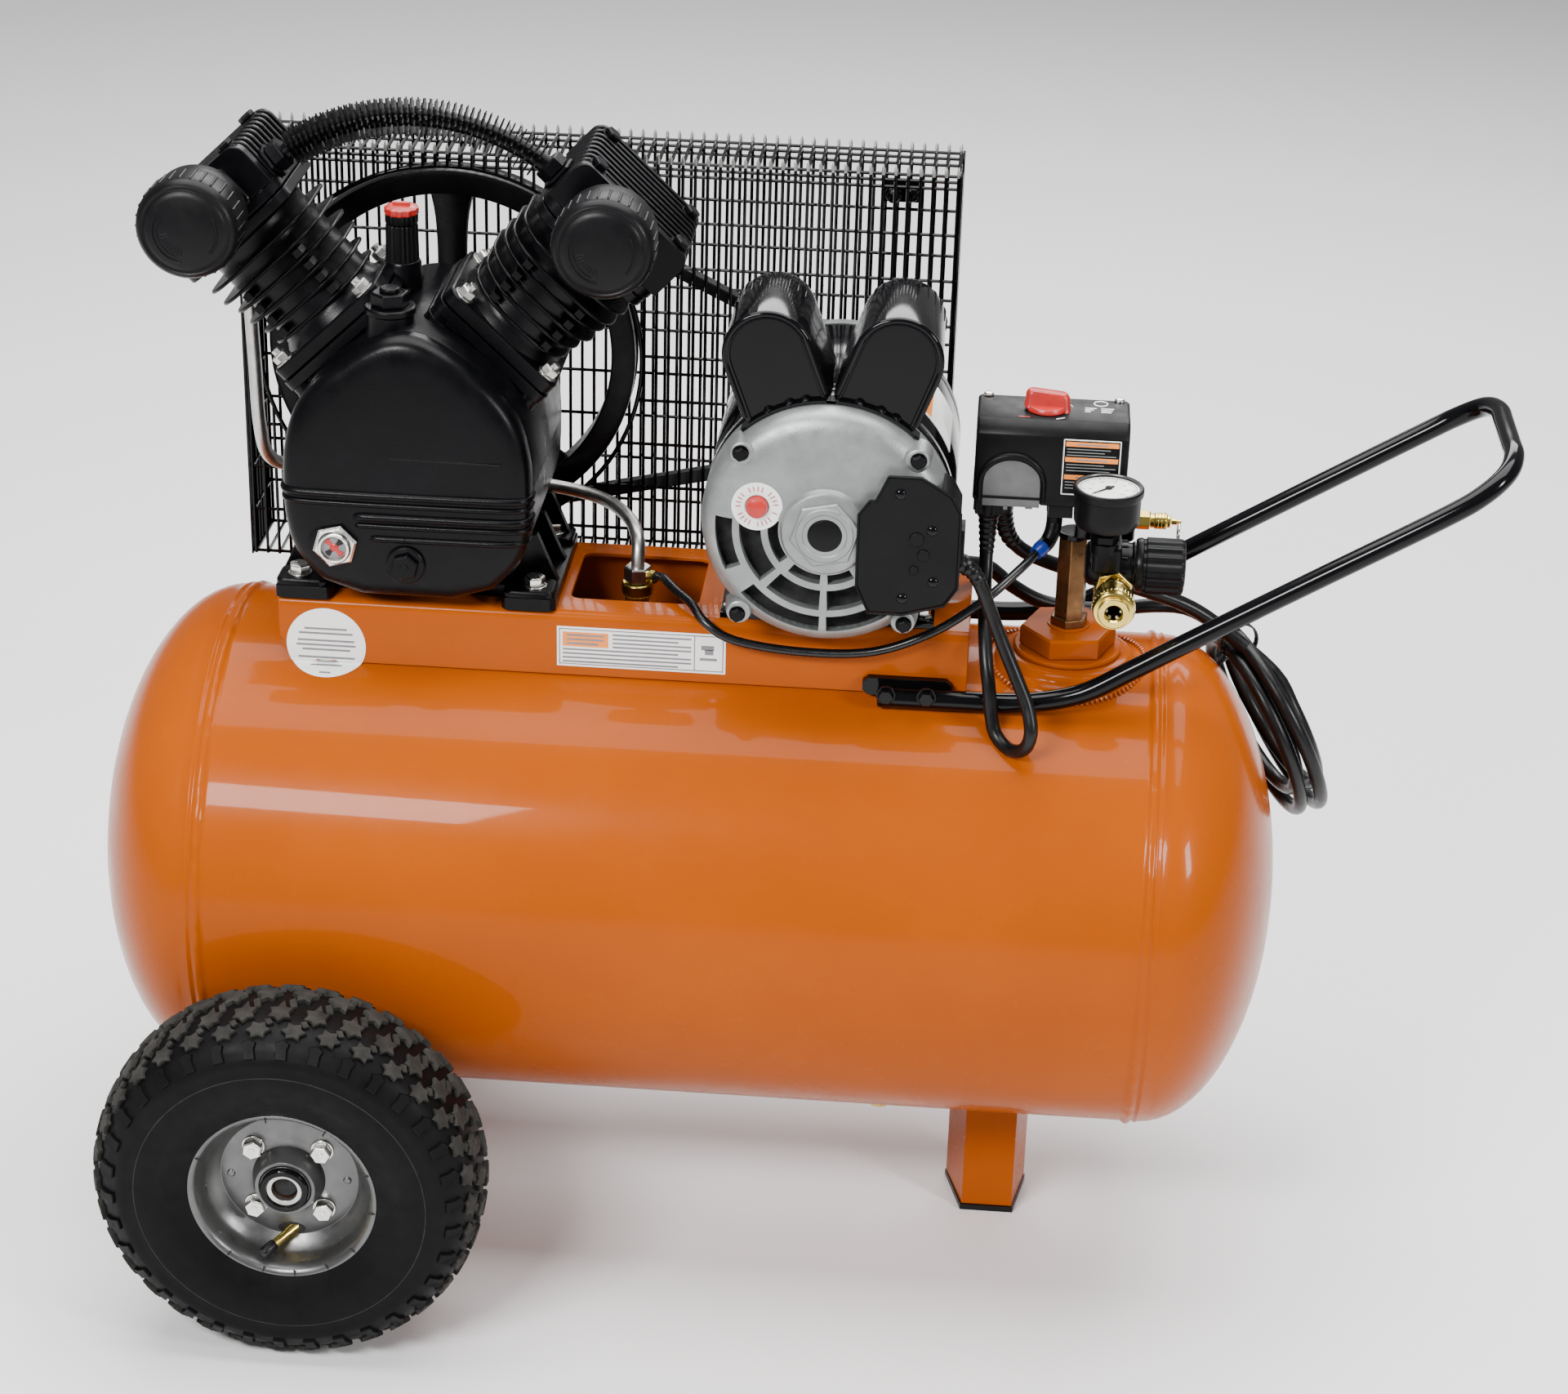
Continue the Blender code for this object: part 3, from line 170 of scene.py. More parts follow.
# Look: material, CAD slot, colour, roughness, metal, colour variation, patch and grain size and
# grain depth in millimetres, strength of the grain, and specular level.
LOOKS = {
    "cast": ("black_casting", "black_cast", (0.0015, 0.0015, 0.002), 0.3, 0, 0.3, 35, 1.4, 0.16, 0.5,
        0.12),
    "gloss": ("black_gloss_coat", "black_gloss", (0.002, 0.002, 0.0025), 0.1, 0, 0.2, 60, 3, 0.02, 0.3,
        0.17),
    "bell": ("silver_grey_casting", "grey_bell", (0.23, 0.245, 0.24), 0.4, 0.6, 0.14, 22, 1.1, 0.16,
        0.8, 0.5),
    "steel": ("bare_steel", "steel", (0.5, 0.49, 0.47), 0.34, 1, 0.16, 14, 0.7, 0.02, 0.5, 0.5),
    "zinc": ("zinc_plate", "steel", (0.7, 0.69, 0.65), 0.22, 1, 0.12, 9, 0.6, 0.015, 0.4, 0.5),
    "rim": ("grey_steel_rim", "rim_grey", (0.115, 0.115, 0.115), 0.32, 0.85, 0.16, 25, 1.5, 0.05, 0.5,
        0.5),
    "tyre": ("tyre_rubber", "tyre_rubber", (0.0022, 0.0022, 0.0025), 0.5, 0, 0.3, 30, 0.9, 0.08, 0.6,
        0.09),
    "lug": ("worn_tread", "tyre_rubber", (0.018, 0.017, 0.015), 0.8, 0, 0.45, 12, 0.8, 0.12, 0.8, 0.2),
    "rubber": ("cord_rubber", "rubber", (0.003, 0.003, 0.0035), 0.34, 0, 0.25, 18, 0.8, 0.03, 0.5, 0.25),
    "belt": ("belt_rubber", "rubber", (0.005, 0.005, 0.0055), 0.6, 0, 0.3, 15, 0.8, 0.06, 0.6, 0.2),
    "plastic": ("black_plastic", "black_plastic", (0.0035, 0.0035, 0.004), 0.36, 0, 0.2, 30, 0.55,
        0.05, 0.7, 0.12),
    "tube": ("nylon_tube", "black_plastic", (0.004, 0.004, 0.005), 0.26, 0, 0.2, 14, 1.8, 0.02, 0.4, 0.4),
    "red": ("red_plastic", "red_plastic", (0.36, 0.012, 0.01), 0.34, 0, 0.14, 11, 0.8, 0.03, 0.5, 0.5),
    "blue": ("blue_plastic", "", (0.01, 0.035, 0.3), 0.3, 0, 0.15, 6, 0.6, 0.02, 0.4, 0.5),
    "brass": ("turned_brass", "brass", (0.7, 0.52, 0.13), 0.2, 1, 0.12, 8, 0.7, 0.015, 0.4, 0.5),
    # dark: true black for the gauge hand and the sight glass star; painted shade where it fills bores,
    # holes, notches, axle ends and the motor's inside
    "dark": ("dark_hollow", "black_cast", (0.004, 0.004, 0.004), 0.8, 0, 0.3, 20, 1.2, 0.05, 0.5, 0.5),
    "white": ("white_label", "black_plastic", (0.78, 0.78, 0.76), 0.4, 0, 0.03, 20, 2, 0.01, 0.3, 0.5),
    "ink": ("grey_ink", "", (0.16, 0.16, 0.17), 0.5, 0, 0.15, 8, 1.5, 0.01, 0.2, 0.5),
    "amber": ("amber_ink", "", (0.8, 0.22, 0.02), 0.45, 0, 0.1, 12, 1.5, 0.01, 0.2, 0.5),
    "weld": ("painted_weld", "orange", (0.31, 0.056, 0), 0.28, 0, 0.1, 5, 2.2, 0.25, 0.8, 0.5),
    "copper": ("laminations", "", (0.1, 0.09, 0.085), 0.5, 0.8, 0.3, 8, 1.2, 0.05, 0.5, 0.5),
    "bronze": ("bronze_pipe", "brass", (0.17, 0.085, 0.035), 0.3, 0.9, 0.25, 10, 1, 0.03, 0.5, 0.5),
}
SURFACES = {look: surface(row[0], *row[2:]) for look, row in LOOKS.items()}
SURFACES["orange"] = orange_paint()
SURFACES["weld"].set(**{"Coat Weight": 0.5, "Coat Roughness": 0.1})
MATERIALS = {look: n.mat for look, n in SURFACES.items()}
SLOTS = {look: row[1] for look, row in LOOKS.items()}
SLOTS["orange"] = "orange"


# ------------------------------------------------------------------ mesh helpers

def turned(profile, steps=64, axis="Z", centre=(0, 0, 0), start=0):
    """Turn a closed (radius, height) loop, or an open one that ends on the axis."""
    points, rings = [], []
    for radius, height in profile:
        if radius < 1e-6:
            rings.append([len(points)] * steps)
            points.append(Vector((0, 0, height)))
            continue
        rings.append(list(range(len(points), len(points) + steps)))
        for i in range(steps):
            a = start + 2 * math.pi * i / steps
            points.append(Vector((radius * math.cos(a), radius * math.sin(a), height)))
    pairs = list(zip(rings, rings[1:]))
    if profile[0][0] > 1e-6 and profile[-1][0] > 1e-6:
        pairs.append((rings[-1], rings[0]))
    faces = []
    for low, high in pairs:
        for i in range(steps):
            j = (i + 1) % steps
            corners = []
            for v in (low[i], low[j], high[j], high[i]):
                if v not in corners:
                    corners.append(v)
            if len(corners) > 2:
                faces.append(tuple(corners))
    order = {"X": (2, 0, 1), "Y": (0, 2, 1), "Z": (0, 1, 2)}[axis]
    shift = Vector(centre)
    return [Vector([p[k] for k in order]) + shift for p in points], faces


def rod(radius, low, high, axis="Z", centre=(0, 0, 0), steps=32, start=0, edge=0):
    """A bar between two heights on its axis, with a chamfered edge if asked."""
    if edge:
        loop = [(0, low), (radius - edge, low), (radius, low + edge), (radius, high - edge),
            (radius - edge, high), (0, high)]
    else:
        loop = [(0, low), (radius, low), (radius, high), (0, high)]
    return turned(loop, steps, axis, centre, start)


def hexagon(across, low, high, axis="Z", centre=(0, 0, 0), edge=0.6, start=0):
    return rod(across / 2 / math.cos(math.pi / 6), low, high, axis, centre, 6, start, edge)


def layers(rings, closed=False):
    """Skin a stack of equal-length rings; the ends are capped unless the stack is a loop."""
    count = len(rings[0])
    points = [Vector(p) for ring in rings for p in ring]
    faces = []
    last = len(rings) if closed else len(rings) - 1
    for k in range(last):
        a, b = k * count, ((k + 1) % len(rings)) * count
        for i in range(count):
            j = (i + 1) % count
            faces.append((a + i, a + j, b + j, b + i))
    if not closed:
        faces.append(tuple(range(count)))
        faces.append(tuple(reversed(range(last * count, last * count + count))))
    return points, faces


def prism(outline, low, high, axis="Z", edge=0):
    """Push a closed outline along an axis; edge draws both ends in a little."""
    mid = [sum(p[k] for p in outline) / len(outline) for k in (0, 1)]
    size = max(max(abs(p[0] - mid[0]), abs(p[1] - mid[1])) for p in outline)
    stack = [(low, 1), (high, 1)]
    if edge:
        k = 1 - edge / size
        stack = [(low, k), (low + edge, 1), (high - edge, 1), (high, k)]
    rings = []
    for t, k in stack:
        ring = [(mid[0] + (a - mid[0]) * k, mid[1] + (b - mid[1]) * k) for a, b in outline]
        rings.append([{"X": (t, a, b), "Y": (a, t, b), "Z": (a, b, t)}[axis] for a, b in ring])
    return layers(rings)


def block(x0, x1, y0, y1, z0, z1):
    return prism([(x0, y0), (x1, y0), (x1, y1), (x0, y1)], z0, z1)


def rounded(half_a, half_b, radius, per_corner=6, centre=(0, 0)):
    """A rectangle outline with round corners."""
    outline = []
    for sa, sb, first in ((1, 1, 0), (-1, 1, 90), (-1, -1, 180), (1, -1, 270)):
        for k in range(per_corner):
            a = math.radians(first + 90 * k / (per_corner - 1))
            outline.append((centre[0] + sa * (half_a - radius) + radius * math.cos(a), centre[1]
                + sb * (half_b - radius) + radius * math.sin(a)))
    return outline


def smooth_path(knots, spacing):
    """A Catmull-Rom curve through the knots."""
    knots = [Vector(k) for k in knots]
    full = [2 * knots[0] - knots[1]] + knots + [2 * knots[-1] - knots[-2]]
    path = []
    for i in range(1, len(full) - 2):
        p0, p1, p2, p3 = full[i - 1:i + 3]
        count = max(1, round((p2 - p1).length / spacing))
        for k in range(count):
            t = k / count
            path.append(0.5 * (2 * p1 + (p2 - p0) * t + (2 * p0 - 5 * p1 + 4 * p2 - p3) * t * t
                + (3 * p1 - p0 - 3 * p2 + p3) * t ** 3))
    path.append(knots[-1])
    return path


def swept(path, radius, sides=16, radii=None):
    """A round tube along a path, with flat ends."""
    path = [Vector(p) for p in path]
    heading = (path[1] - path[0]).normalized()
    side = heading.orthogonal().normalized()
    rings = []
    for i, point in enumerate(path):
        new = (path[min(len(path) - 1, i + 1)] - path[max(0, i - 1)]).normalized()
        side = heading.rotation_difference(new) @ side
        side = (side - new * side.dot(new)).normalized()
        heading = new
        up = heading.cross(side)
        size = radii[i] if radii else radius
        rings.append([point + side * (size * math.cos(2 * math.pi * k / sides))
            + up * (size * math.sin(2 * math.pi * k / sides)) for k in range(sides)])
    return layers(rings)


def ring_tube(loop, radius, sides=10):
    """A closed hoop of round wire through a flat loop of points."""
    loop = [Vector(p) for p in loop]
    count = len(loop)
    centre = sum(loop, Vector()) / count
    normal = (loop[0] - centre).cross(loop[count // 4] - centre).normalized()
    rings = []
    for i, p in enumerate(loop):
        out = normal.cross((loop[(i + 1) % count] - loop[i - 1]).normalized())
        rings.append([p + out * (radius * math.cos(2 * math.pi * k / sides))
            + normal * (radius * math.sin(2 * math.pi * k / sides)) for k in range(sides)])
    return layers(rings, closed=True)


def ribbed(centre, peak, valley, rows, count=22):
    """A stack of rings whose points step in and out; rows are (height, scale)."""
    return layers([[(centre[0] + (peak if i % 2 else valley) * k * math.cos(math.pi * i / count),
        centre[1] + (peak if i % 2 else valley) * k * math.sin(math.pi * i / count), z)
        for i in range(2 * count)] for z, k in rows])


def circle(radius, count, plane="XZ", centre=(0, 0, 0)):
    """Points of a circle in a plane."""
    found = []
    for k in range(count):
        a = 2 * math.pi * k / count
        u, v = radius * math.cos(a), radius * math.sin(a)
        found.append(Vector(centre) + Vector({"XZ": (u, 0, v), "XY": (u, v, 0), "YZ": (0, u, v)}[plane]))
    return found


def arc(centre, radius, first, last, count, plane="XY"):
    """Points of an arc between two angles in degrees."""
    x, y, z = centre
    found = []
    for k in range(count + 1):
        a = math.radians(first + (last - first) * k / count)
        u, v = radius * math.cos(a), radius * math.sin(a)
        found.append((x + u, y + v, z) if plane == "XY" else (x + u, y, z + v))
    return found


def about(centre, radius, angle):
    """The point at an angle round a centre, in the plane that faces the front."""
    return (centre[0] + radius * math.cos(angle), 0, centre[2] + radius * math.sin(angle))


def spokes(count, first=0):
    """Equally spaced angles once round."""
    return [first + 2 * math.pi * k / count for k in range(count)]


def moved(mesh, matrix=None, shift=(0, 0, 0)):
    """A mesh turned by a 3x3 matrix and then shifted."""
    points, faces = mesh
    shift = Vector(shift)
    if matrix is None:
        return [Vector(p) + shift for p in points], faces
    return [matrix @ Vector(p) + shift for p in points], faces


def turn(degrees, axis):
    return Matrix.Rotation(math.radians(degrees), 3, axis)


def on_bank(side, mesh):
    """Place a mesh made about +Z on one cylinder bank: side -1 is left, +1 is right."""
    return moved(mesh, Matrix.Rotation(side * V_ANGLE, 3, "Y"), PUMP)


def face_outward(data):
    """Point every face of a mesh away from its inside."""
    fix = bmesh.new()
    fix.from_mesh(data)
    bmesh.ops.recalc_face_normals(fix, faces=fix.faces)
    fix.to_mesh(data)
    fix.free()


def shade(data, sharp=38):
    """Smooth shading, with edges kept sharp above an angle."""
    data.shade_smooth()
    data.set_sharp_from_angle(angle=math.radians(sharp))


def make(name, parts, look, body="frame", nodes=(), bevel=0, sharp=38):
    """One piece from a list of meshes; a part may be (mesh, look) to have its own material."""
    data = bpy.data.meshes.new(name)
    points, faces, slots, used = [], [], [], [look]
    for part in parts:
        mesh, own = part, look
        if isinstance(part[1], str):
            mesh, own = part
        if own not in used:
            used.append(own)
        base = len(points)
        points.extend(at(p) for p in mesh[0])
        faces.extend(tuple(base + v for v in f) for f in mesh[1])
        slots.extend([used.index(own)] * len(mesh[1]))
    data.from_pydata([tuple(p) for p in points], [], faces)
    data.polygons.foreach_set("material_index", slots)
    for own in used:
        data.materials.append(MATERIALS[own])
    face_outward(data)
    shade(data, sharp)
    obj = bpy.data.objects.new(name, data)
    bpy.context.scene.collection.objects.link(obj)
    if bevel:
        soften(obj, bevel)
    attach(obj, body)
    if nodes:
        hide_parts(*([nodes] if isinstance(nodes, str) else nodes))
    return obj


def soften(obj, width, segments=2):
    """Round the sharp edges of a piece."""
    step = obj.modifiers.new("edges", "BEVEL")
    step.width = width * MM
    step.segments = segments
    step.limit_method = "ANGLE"
    step.angle_limit = math.radians(38)
    step.harden_normals = True


def carve(obj, *tools):
    """Cut tool meshes out of a piece and keep the result as its mesh."""
    kept = list(obj.modifiers)
    for step in kept:
        step.show_viewport = False
    for points, faces in tools:
        cutter = bpy.data.objects.new("cutter", bpy.data.meshes.new("cutter"))
        cutter.data.from_pydata([tuple(at(p)) for p in points], [], faces)
        face_outward(cutter.data)
        cutter.data.materials.append(obj.data.materials[0])
        bpy.context.scene.collection.objects.link(cutter)
        step = obj.modifiers.new("cut", "BOOLEAN")
        step.object = cutter
        step.operation = "DIFFERENCE"
        step.solver = "EXACT"
        bpy.context.view_layer.update()
        graph = bpy.context.evaluated_depsgraph_get()
        result = bpy.data.meshes.new_from_object(obj.evaluated_get(graph))
        obj.modifiers.remove(step)
        obj.data = result
        bpy.data.objects.remove(cutter, do_unlink=True)
    shade(obj.data)
    for step in kept:
        step.show_viewport = True


# ------------------------------------------------------------------ camera

def build_camera():
    """A long lens at the operator's side, looking down on the machine."""
    yaw, pitch, roll = (math.radians(v) for v in (3.83, 26.06, 1.61))
    ahead = Vector((-math.sin(yaw) * math.cos(pitch), math.cos(yaw) * math.cos(pitch), -math.sin(pitch)))
    right = Vector((math.cos(yaw), math.sin(yaw), 0))
    level = right.cross(ahead)
    up = -math.sin(roll) * right + math.cos(roll) * level
    right = math.cos(roll) * right + math.sin(roll) * level
    data = bpy.data.cameras.new("camera")
    data.sensor_width = 36
    data.lens = 76.7
    data.shift_x = 0.0057
    data.shift_y = 0.0014
    data.clip_start = 0.1
    data.clip_end = 60
    obj = bpy.data.objects.new("camera", data)
    bpy.context.scene.collection.objects.link(obj)
    facing = Matrix((right, up, -ahead)).transposed().to_4x4()
    obj.matrix_world = Matrix.Translation(at((203.3, -2155.2, 1469.5))) @ facing
    bpy.context.scene.camera = obj


# ------------------------------------------------------------------ cords


def cord_curve(name, path, radius, look, nodes):
    """A round cord as one open poly curve with closed ends."""
    curve = bpy.data.curves.new(name, "CURVE")
    curve.dimensions = "3D"
    curve.bevel_depth = radius * MM
    curve.bevel_resolution = 5
    curve.use_fill_caps = True
    spline = curve.splines.new("POLY")
    spline.points.add(len(path) - 1)
    for slot, point in zip(spline.points, path):
        slot.co = (*at(point), 1)
    spline.use_smooth = True
    curve.materials.append(MATERIALS[look])
    obj = bpy.data.objects.new(name, curve)
    bpy.context.scene.collection.objects.link(obj)
    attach(obj, "frame")
    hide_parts(*nodes)
    return obj


def coil_point(theta, spread):
    """A point of a four-strand bundle laid round the coil: one quarter turn per loop."""
    long, short = Vector(COIL_LONG), Vector(COIL_SHORT)
    out = (long * math.cos(theta) + short * math.sin(theta)).normalized()
    side = long.cross(short).normalized()
    lay = theta / 4 + 0.5
    return (Vector(COIL_CENTRE) + long * math.cos(theta) + short * math.sin(theta)
        + (out * math.cos(lay) + side * math.sin(lay)) * spread)


COIL_START = math.radians(268)
COIL_TURNS = 3
COIL_TIE = math.radians(232)
COIL_END = math.radians(176) + 2 * math.pi * (COIL_TURNS + 1)


def power_cord_path():
    """From the switch, behind the riser, round the coil and back to the plug."""
    run = [(214, 0, 577), (214.6, 0.6, 566), (219, 3.5, 550), (229, 9, 537), (246, 15.5, 526.5),
        (268, 22.5, 517), (293, 29.5, 508), (322, 37, 497.5), (352, 44.5, 484), (379, 44.5, 466.5)]
    loops = []
    steps = 30
    theta = COIL_START
    while theta < COIL_END:
        spread = 7.9 + 1.6 * (1 - math.cos(theta - COIL_TIE))
        loops.append(coil_point(theta, spread))
        theta += 2 * math.pi / steps
    tail = [(371, 101, 449), (352, 96, 460), (330, 87, 464.5), (305, 70, 469), (275, 56, 473),
        (246, 49, 480), (224, 43, 494), (206, 33, 512), (190, 17, 521)]
    return smooth_path(run + loops[::2] + tail, 7)


def lead_path():
    """From the motor's terminal cover down in a loop and up into the switch."""
    knots = [(187.5, -97, 569.5), (196, -97, 564.5), (203, -97, 552), (211, -97, 532), (220, -99.5, 511),
        (230, -104.5, 490), (238.5, -112, 472)]
    middle, half = Vector((227.75, -104.25, 456)), Vector((13.85, -14.35, 0))
    for k in range(5):
        a = math.pi * k / 4
        knots.append(middle + half * math.cos(a) - Vector((0, 0, 20 * math.sin(a))))
    knots += [(211.5, -87, 474), (208.5, -79, 491), (206.5, -65, 508), (205, -48, 524), (204.5, -34, 541),
        (204.5, -27, 559), (204.5, -26, 577.5)]
    return smooth_path(knots, 5)


def relief(name, path, radius, length, collar=2.2):
    """A tapered, ringed sleeve over the first stretch of a cord."""
    run, kept = 0, [path[0]]
    for a, b in zip(path, path[1:]):
        run += (b - a).length
        kept.append(b)
        if run > length:
            break
    fine = smooth_path(kept, 1.2)
    radii = []
    for i in range(len(fine)):
        t = i / (len(fine) - 1)
        size = radius + 0.25 + collar * (1 - t) ** 0.8
        radii.append(size - (0.7 if i % 4 >= 2 and 0.1 < t < 0.95 else 0))
    return make(name, [swept(fine, radius, 20, radii)], "rubber")


def plug_mesh(start, heading):
    """A moulded straight plug with two flat blades and a round earth pin."""
    heading = Vector(heading).normalized()
    side = heading.cross(Vector((0, 0, 1))).normalized()
    up = side.cross(heading)

    def ring(distance, half_a, half_b, radius):
        return [start + heading * distance + side * a + up * b for a, b in rounded(half_a, half_b, radius,
            5)]

    rings = [ring(*row) for row in ((0, 6.6, 6.6, 6.5), (4, 6, 6, 5.9), (6, 7.2, 7.2, 7.1),
        (9, 6.4, 6.4, 6.3), (11, 8, 8, 7.8), (16, 9.8, 9, 8.4), (19, 11, 10, 8), (22, 11, 10, 8),
        (23, 12.6, 12, 9), (39, 13, 12.6, 9.5), (41, 12.4, 12, 9), (42, 11, 10.6, 8))]
    body = layers(rings)
    pins = []
    for a in (-6, 6):
        pins.append(layers([[start + heading * d + side * (a + x) + up * (3 + y) for x, y in ((-0.75, -3),
            (0.75, -3), (0.75, 3), (-0.75, 3))] for d in (41, 57)]))
    pins.append(layers([[start + heading * d + side * (r * math.cos(k * math.pi / 6))
        + up * (-7.5 + r * math.sin(k * math.pi / 6)) for k in range(12)] for d, r in ((41, 2.3),
        (56, 2.3), (58, 1.2))]))
    return [body] + [(pin, "brass") for pin in pins]


def build_cords():
    path = power_cord_path()
    cord = cord_curve("power_cord", path, CORD_R, "rubber", ["cord_run", "cord_coil", "cord_tail"])
    sleeve = relief("power_cord_relief", path, CORD_R, 30)
    tail = path[-1]
    plug = make("power_plug_body", plug_mesh(tail - Vector((-0.5, -0.5, 0)), (-20, -20, 0.5)), "rubber",
        nodes="power_plug", bevel=0.5)
    tie_at = coil_point(COIL_TIE, 0)
    around = (Vector(COIL_LONG) * -math.sin(COIL_TIE)
        + Vector(COIL_SHORT) * math.cos(COIL_TIE)).normalized()
    first = around.orthogonal().normalized()
    second = around.cross(first)
    band = []
    for a in spokes(28):
        spot = tie_at + first * (14.6 * math.cos(a)) + second * (14.6 * math.sin(a))
        out = (spot - tie_at).normalized()
        band.append([spot + out * u + around * v for u, v in ((-0.7, -2.4), (0.7, -2.4), (0.7, 2.4),
            (-0.7, 2.4))])
    head = tie_at + first * 15.5
    lock = layers([[head + first * u + second * a + around * b for a, b in rounded(3.4, 3.2, 1, 3)]
        for u in (-1.5, 3.5)])
    strip = layers([[head + first * (1 + d) + second * (6 * math.sin(d / 9) + a) + around * b
        for a, b in ((-0.7, -2.2), (0.7, -2.2), (0.7, 2.2), (-0.7, 2.2))] for d in range(0, 17, 2)])
    tie = make("cord_tie", [layers(band, closed=True), lock, strip], "tube", bevel=0.3)
    lead = lead_path()
    wire = cord_curve("motor_lead_cord", lead, LEAD_R, "rubber", ["motor_lead"])
    boot = relief("motor_lead_relief", list(reversed(lead)), LEAD_R, 26)
    root = relief("motor_lead_root", lead, LEAD_R, 16, collar=1.4)


# ------------------------------------------------------------------ tank and its fittings

def tank_profile():
    """(radius, x, ripple) rows from the left pole to the right one."""
    base, depth = 336, 89
    half = [(0, base + depth, 0)]
    for k in range(1, 19):
        a = 0.5 * math.pi * k / 18
        half.append((TANK_R * math.sin(a), base + depth * math.cos(a), 0))
    half[-1] = (TANK_R, 336.6, 0)
    half += [(TANK_R + 0.9, 335.4, 0), (TANK_R + 0.9, 334.4, 0), (TANK_R, 333.2, 0), (TANK_R, 331.8, 0),
        (TANK_R + 1, 330.8, 0.3), (TANK_R + 1.7, 329, 0.8), (TANK_R + 1.8, 327.4, 0.8),
        (TANK_R + 1.1, 325.6, 0.3), (TANK_R, 324.6, 0), (TANK_R, 322, 0), (TANK_R, 200, 0),
        (TANK_R, 60, 0)]
    left = [(r, -x, w) for r, x, w in half]
    return left + list(reversed(half))


def build_tank():
    rows = tank_profile()
    steps = 180
    rng = random.Random(4)
    ripple = [rng.uniform(-1, 1) for i in range(steps)]
    points, rings = [], []
    for r, x, wave in rows:
        if r < 1e-6:
            rings.append([len(points)] * steps)
            points.append(Vector((x, 0, AXIS_Z)))
            continue
        rings.append(list(range(len(points), len(points) + steps)))
        for i in range(steps):
            a = 2 * math.pi * i / steps
            size = r + wave * (0.5 * math.sin(i * 2.1) + 0.5 * ripple[i])
            points.append(Vector((x, size * math.cos(a), AXIS_Z + size * math.sin(a))))
    faces = []
    for low, high in zip(rings, rings[1:]):
        for i in range(steps):
            j = (i + 1) % steps
            loop = [low[i], low[j], high[j], high[i]]
            corners = [v for k, v in enumerate(loop) if v not in loop[:k]]
            faces.append(tuple(corners))
    make("tank", [(points, faces)], "orange", nodes="tank_shell", sharp=60)


def skirt(x, drop, lift=0):
    """A point on the saddle's near skirt, and below its edge on the tank."""
    y, top, edge = -64, 500, 453.5
    if top - drop > edge:
        return Vector((x, y - lift, top - drop))
    angle = math.asin((edge - AXIS_Z - 0.5) / TANK_R) - (drop - (top - edge)) / TANK_R
    size = TANK_R + lift
    return Vector((x, -size * math.cos(angle), AXIS_Z + size * math.sin(angle)))


def sticker(x0, x1, drop0, drop1, lift, look, columns=10, rows=10, inside=None):
    """A thin printed film lying on the skirt; `inside` can make it round."""
    points, faces, index = [], [], {}

    def corner(i, j):
        if (i, j) not in index:
            u, v = i / columns, j / rows
            if inside:
                a, b = 2 * u - 1, 2 * v - 1
                u = 0.5 + 0.5 * a * math.sqrt(1 - 0.5 * b * b)
                v = 0.5 + 0.5 * b * math.sqrt(1 - 0.5 * a * a)
            x, drop = x0 + (x1 - x0) * u, drop0 + (drop1 - drop0) * v
            index[i, j] = len(points)
            points.extend((skirt(x, drop, lift), skirt(x, drop, lift - 0.12)))
        return index[i, j]

    for i in range(columns):
        for j in range(rows):
            a, b, c, d = corner(i, j), corner(i + 1, j), corner(i + 1, j + 1), corner(i, j + 1)
            faces.append((a, b, c, d))
            faces.append((d + 1, c + 1, b + 1, a + 1))
            for e, f, edge in ((a, b, j == 0), (b, c, i == columns - 1), (c, d, j == rows - 1),
                    (d, a, i == 0)):
                if edge:
                    faces.append((f, e, e + 1, f + 1))
    return (points, faces), look


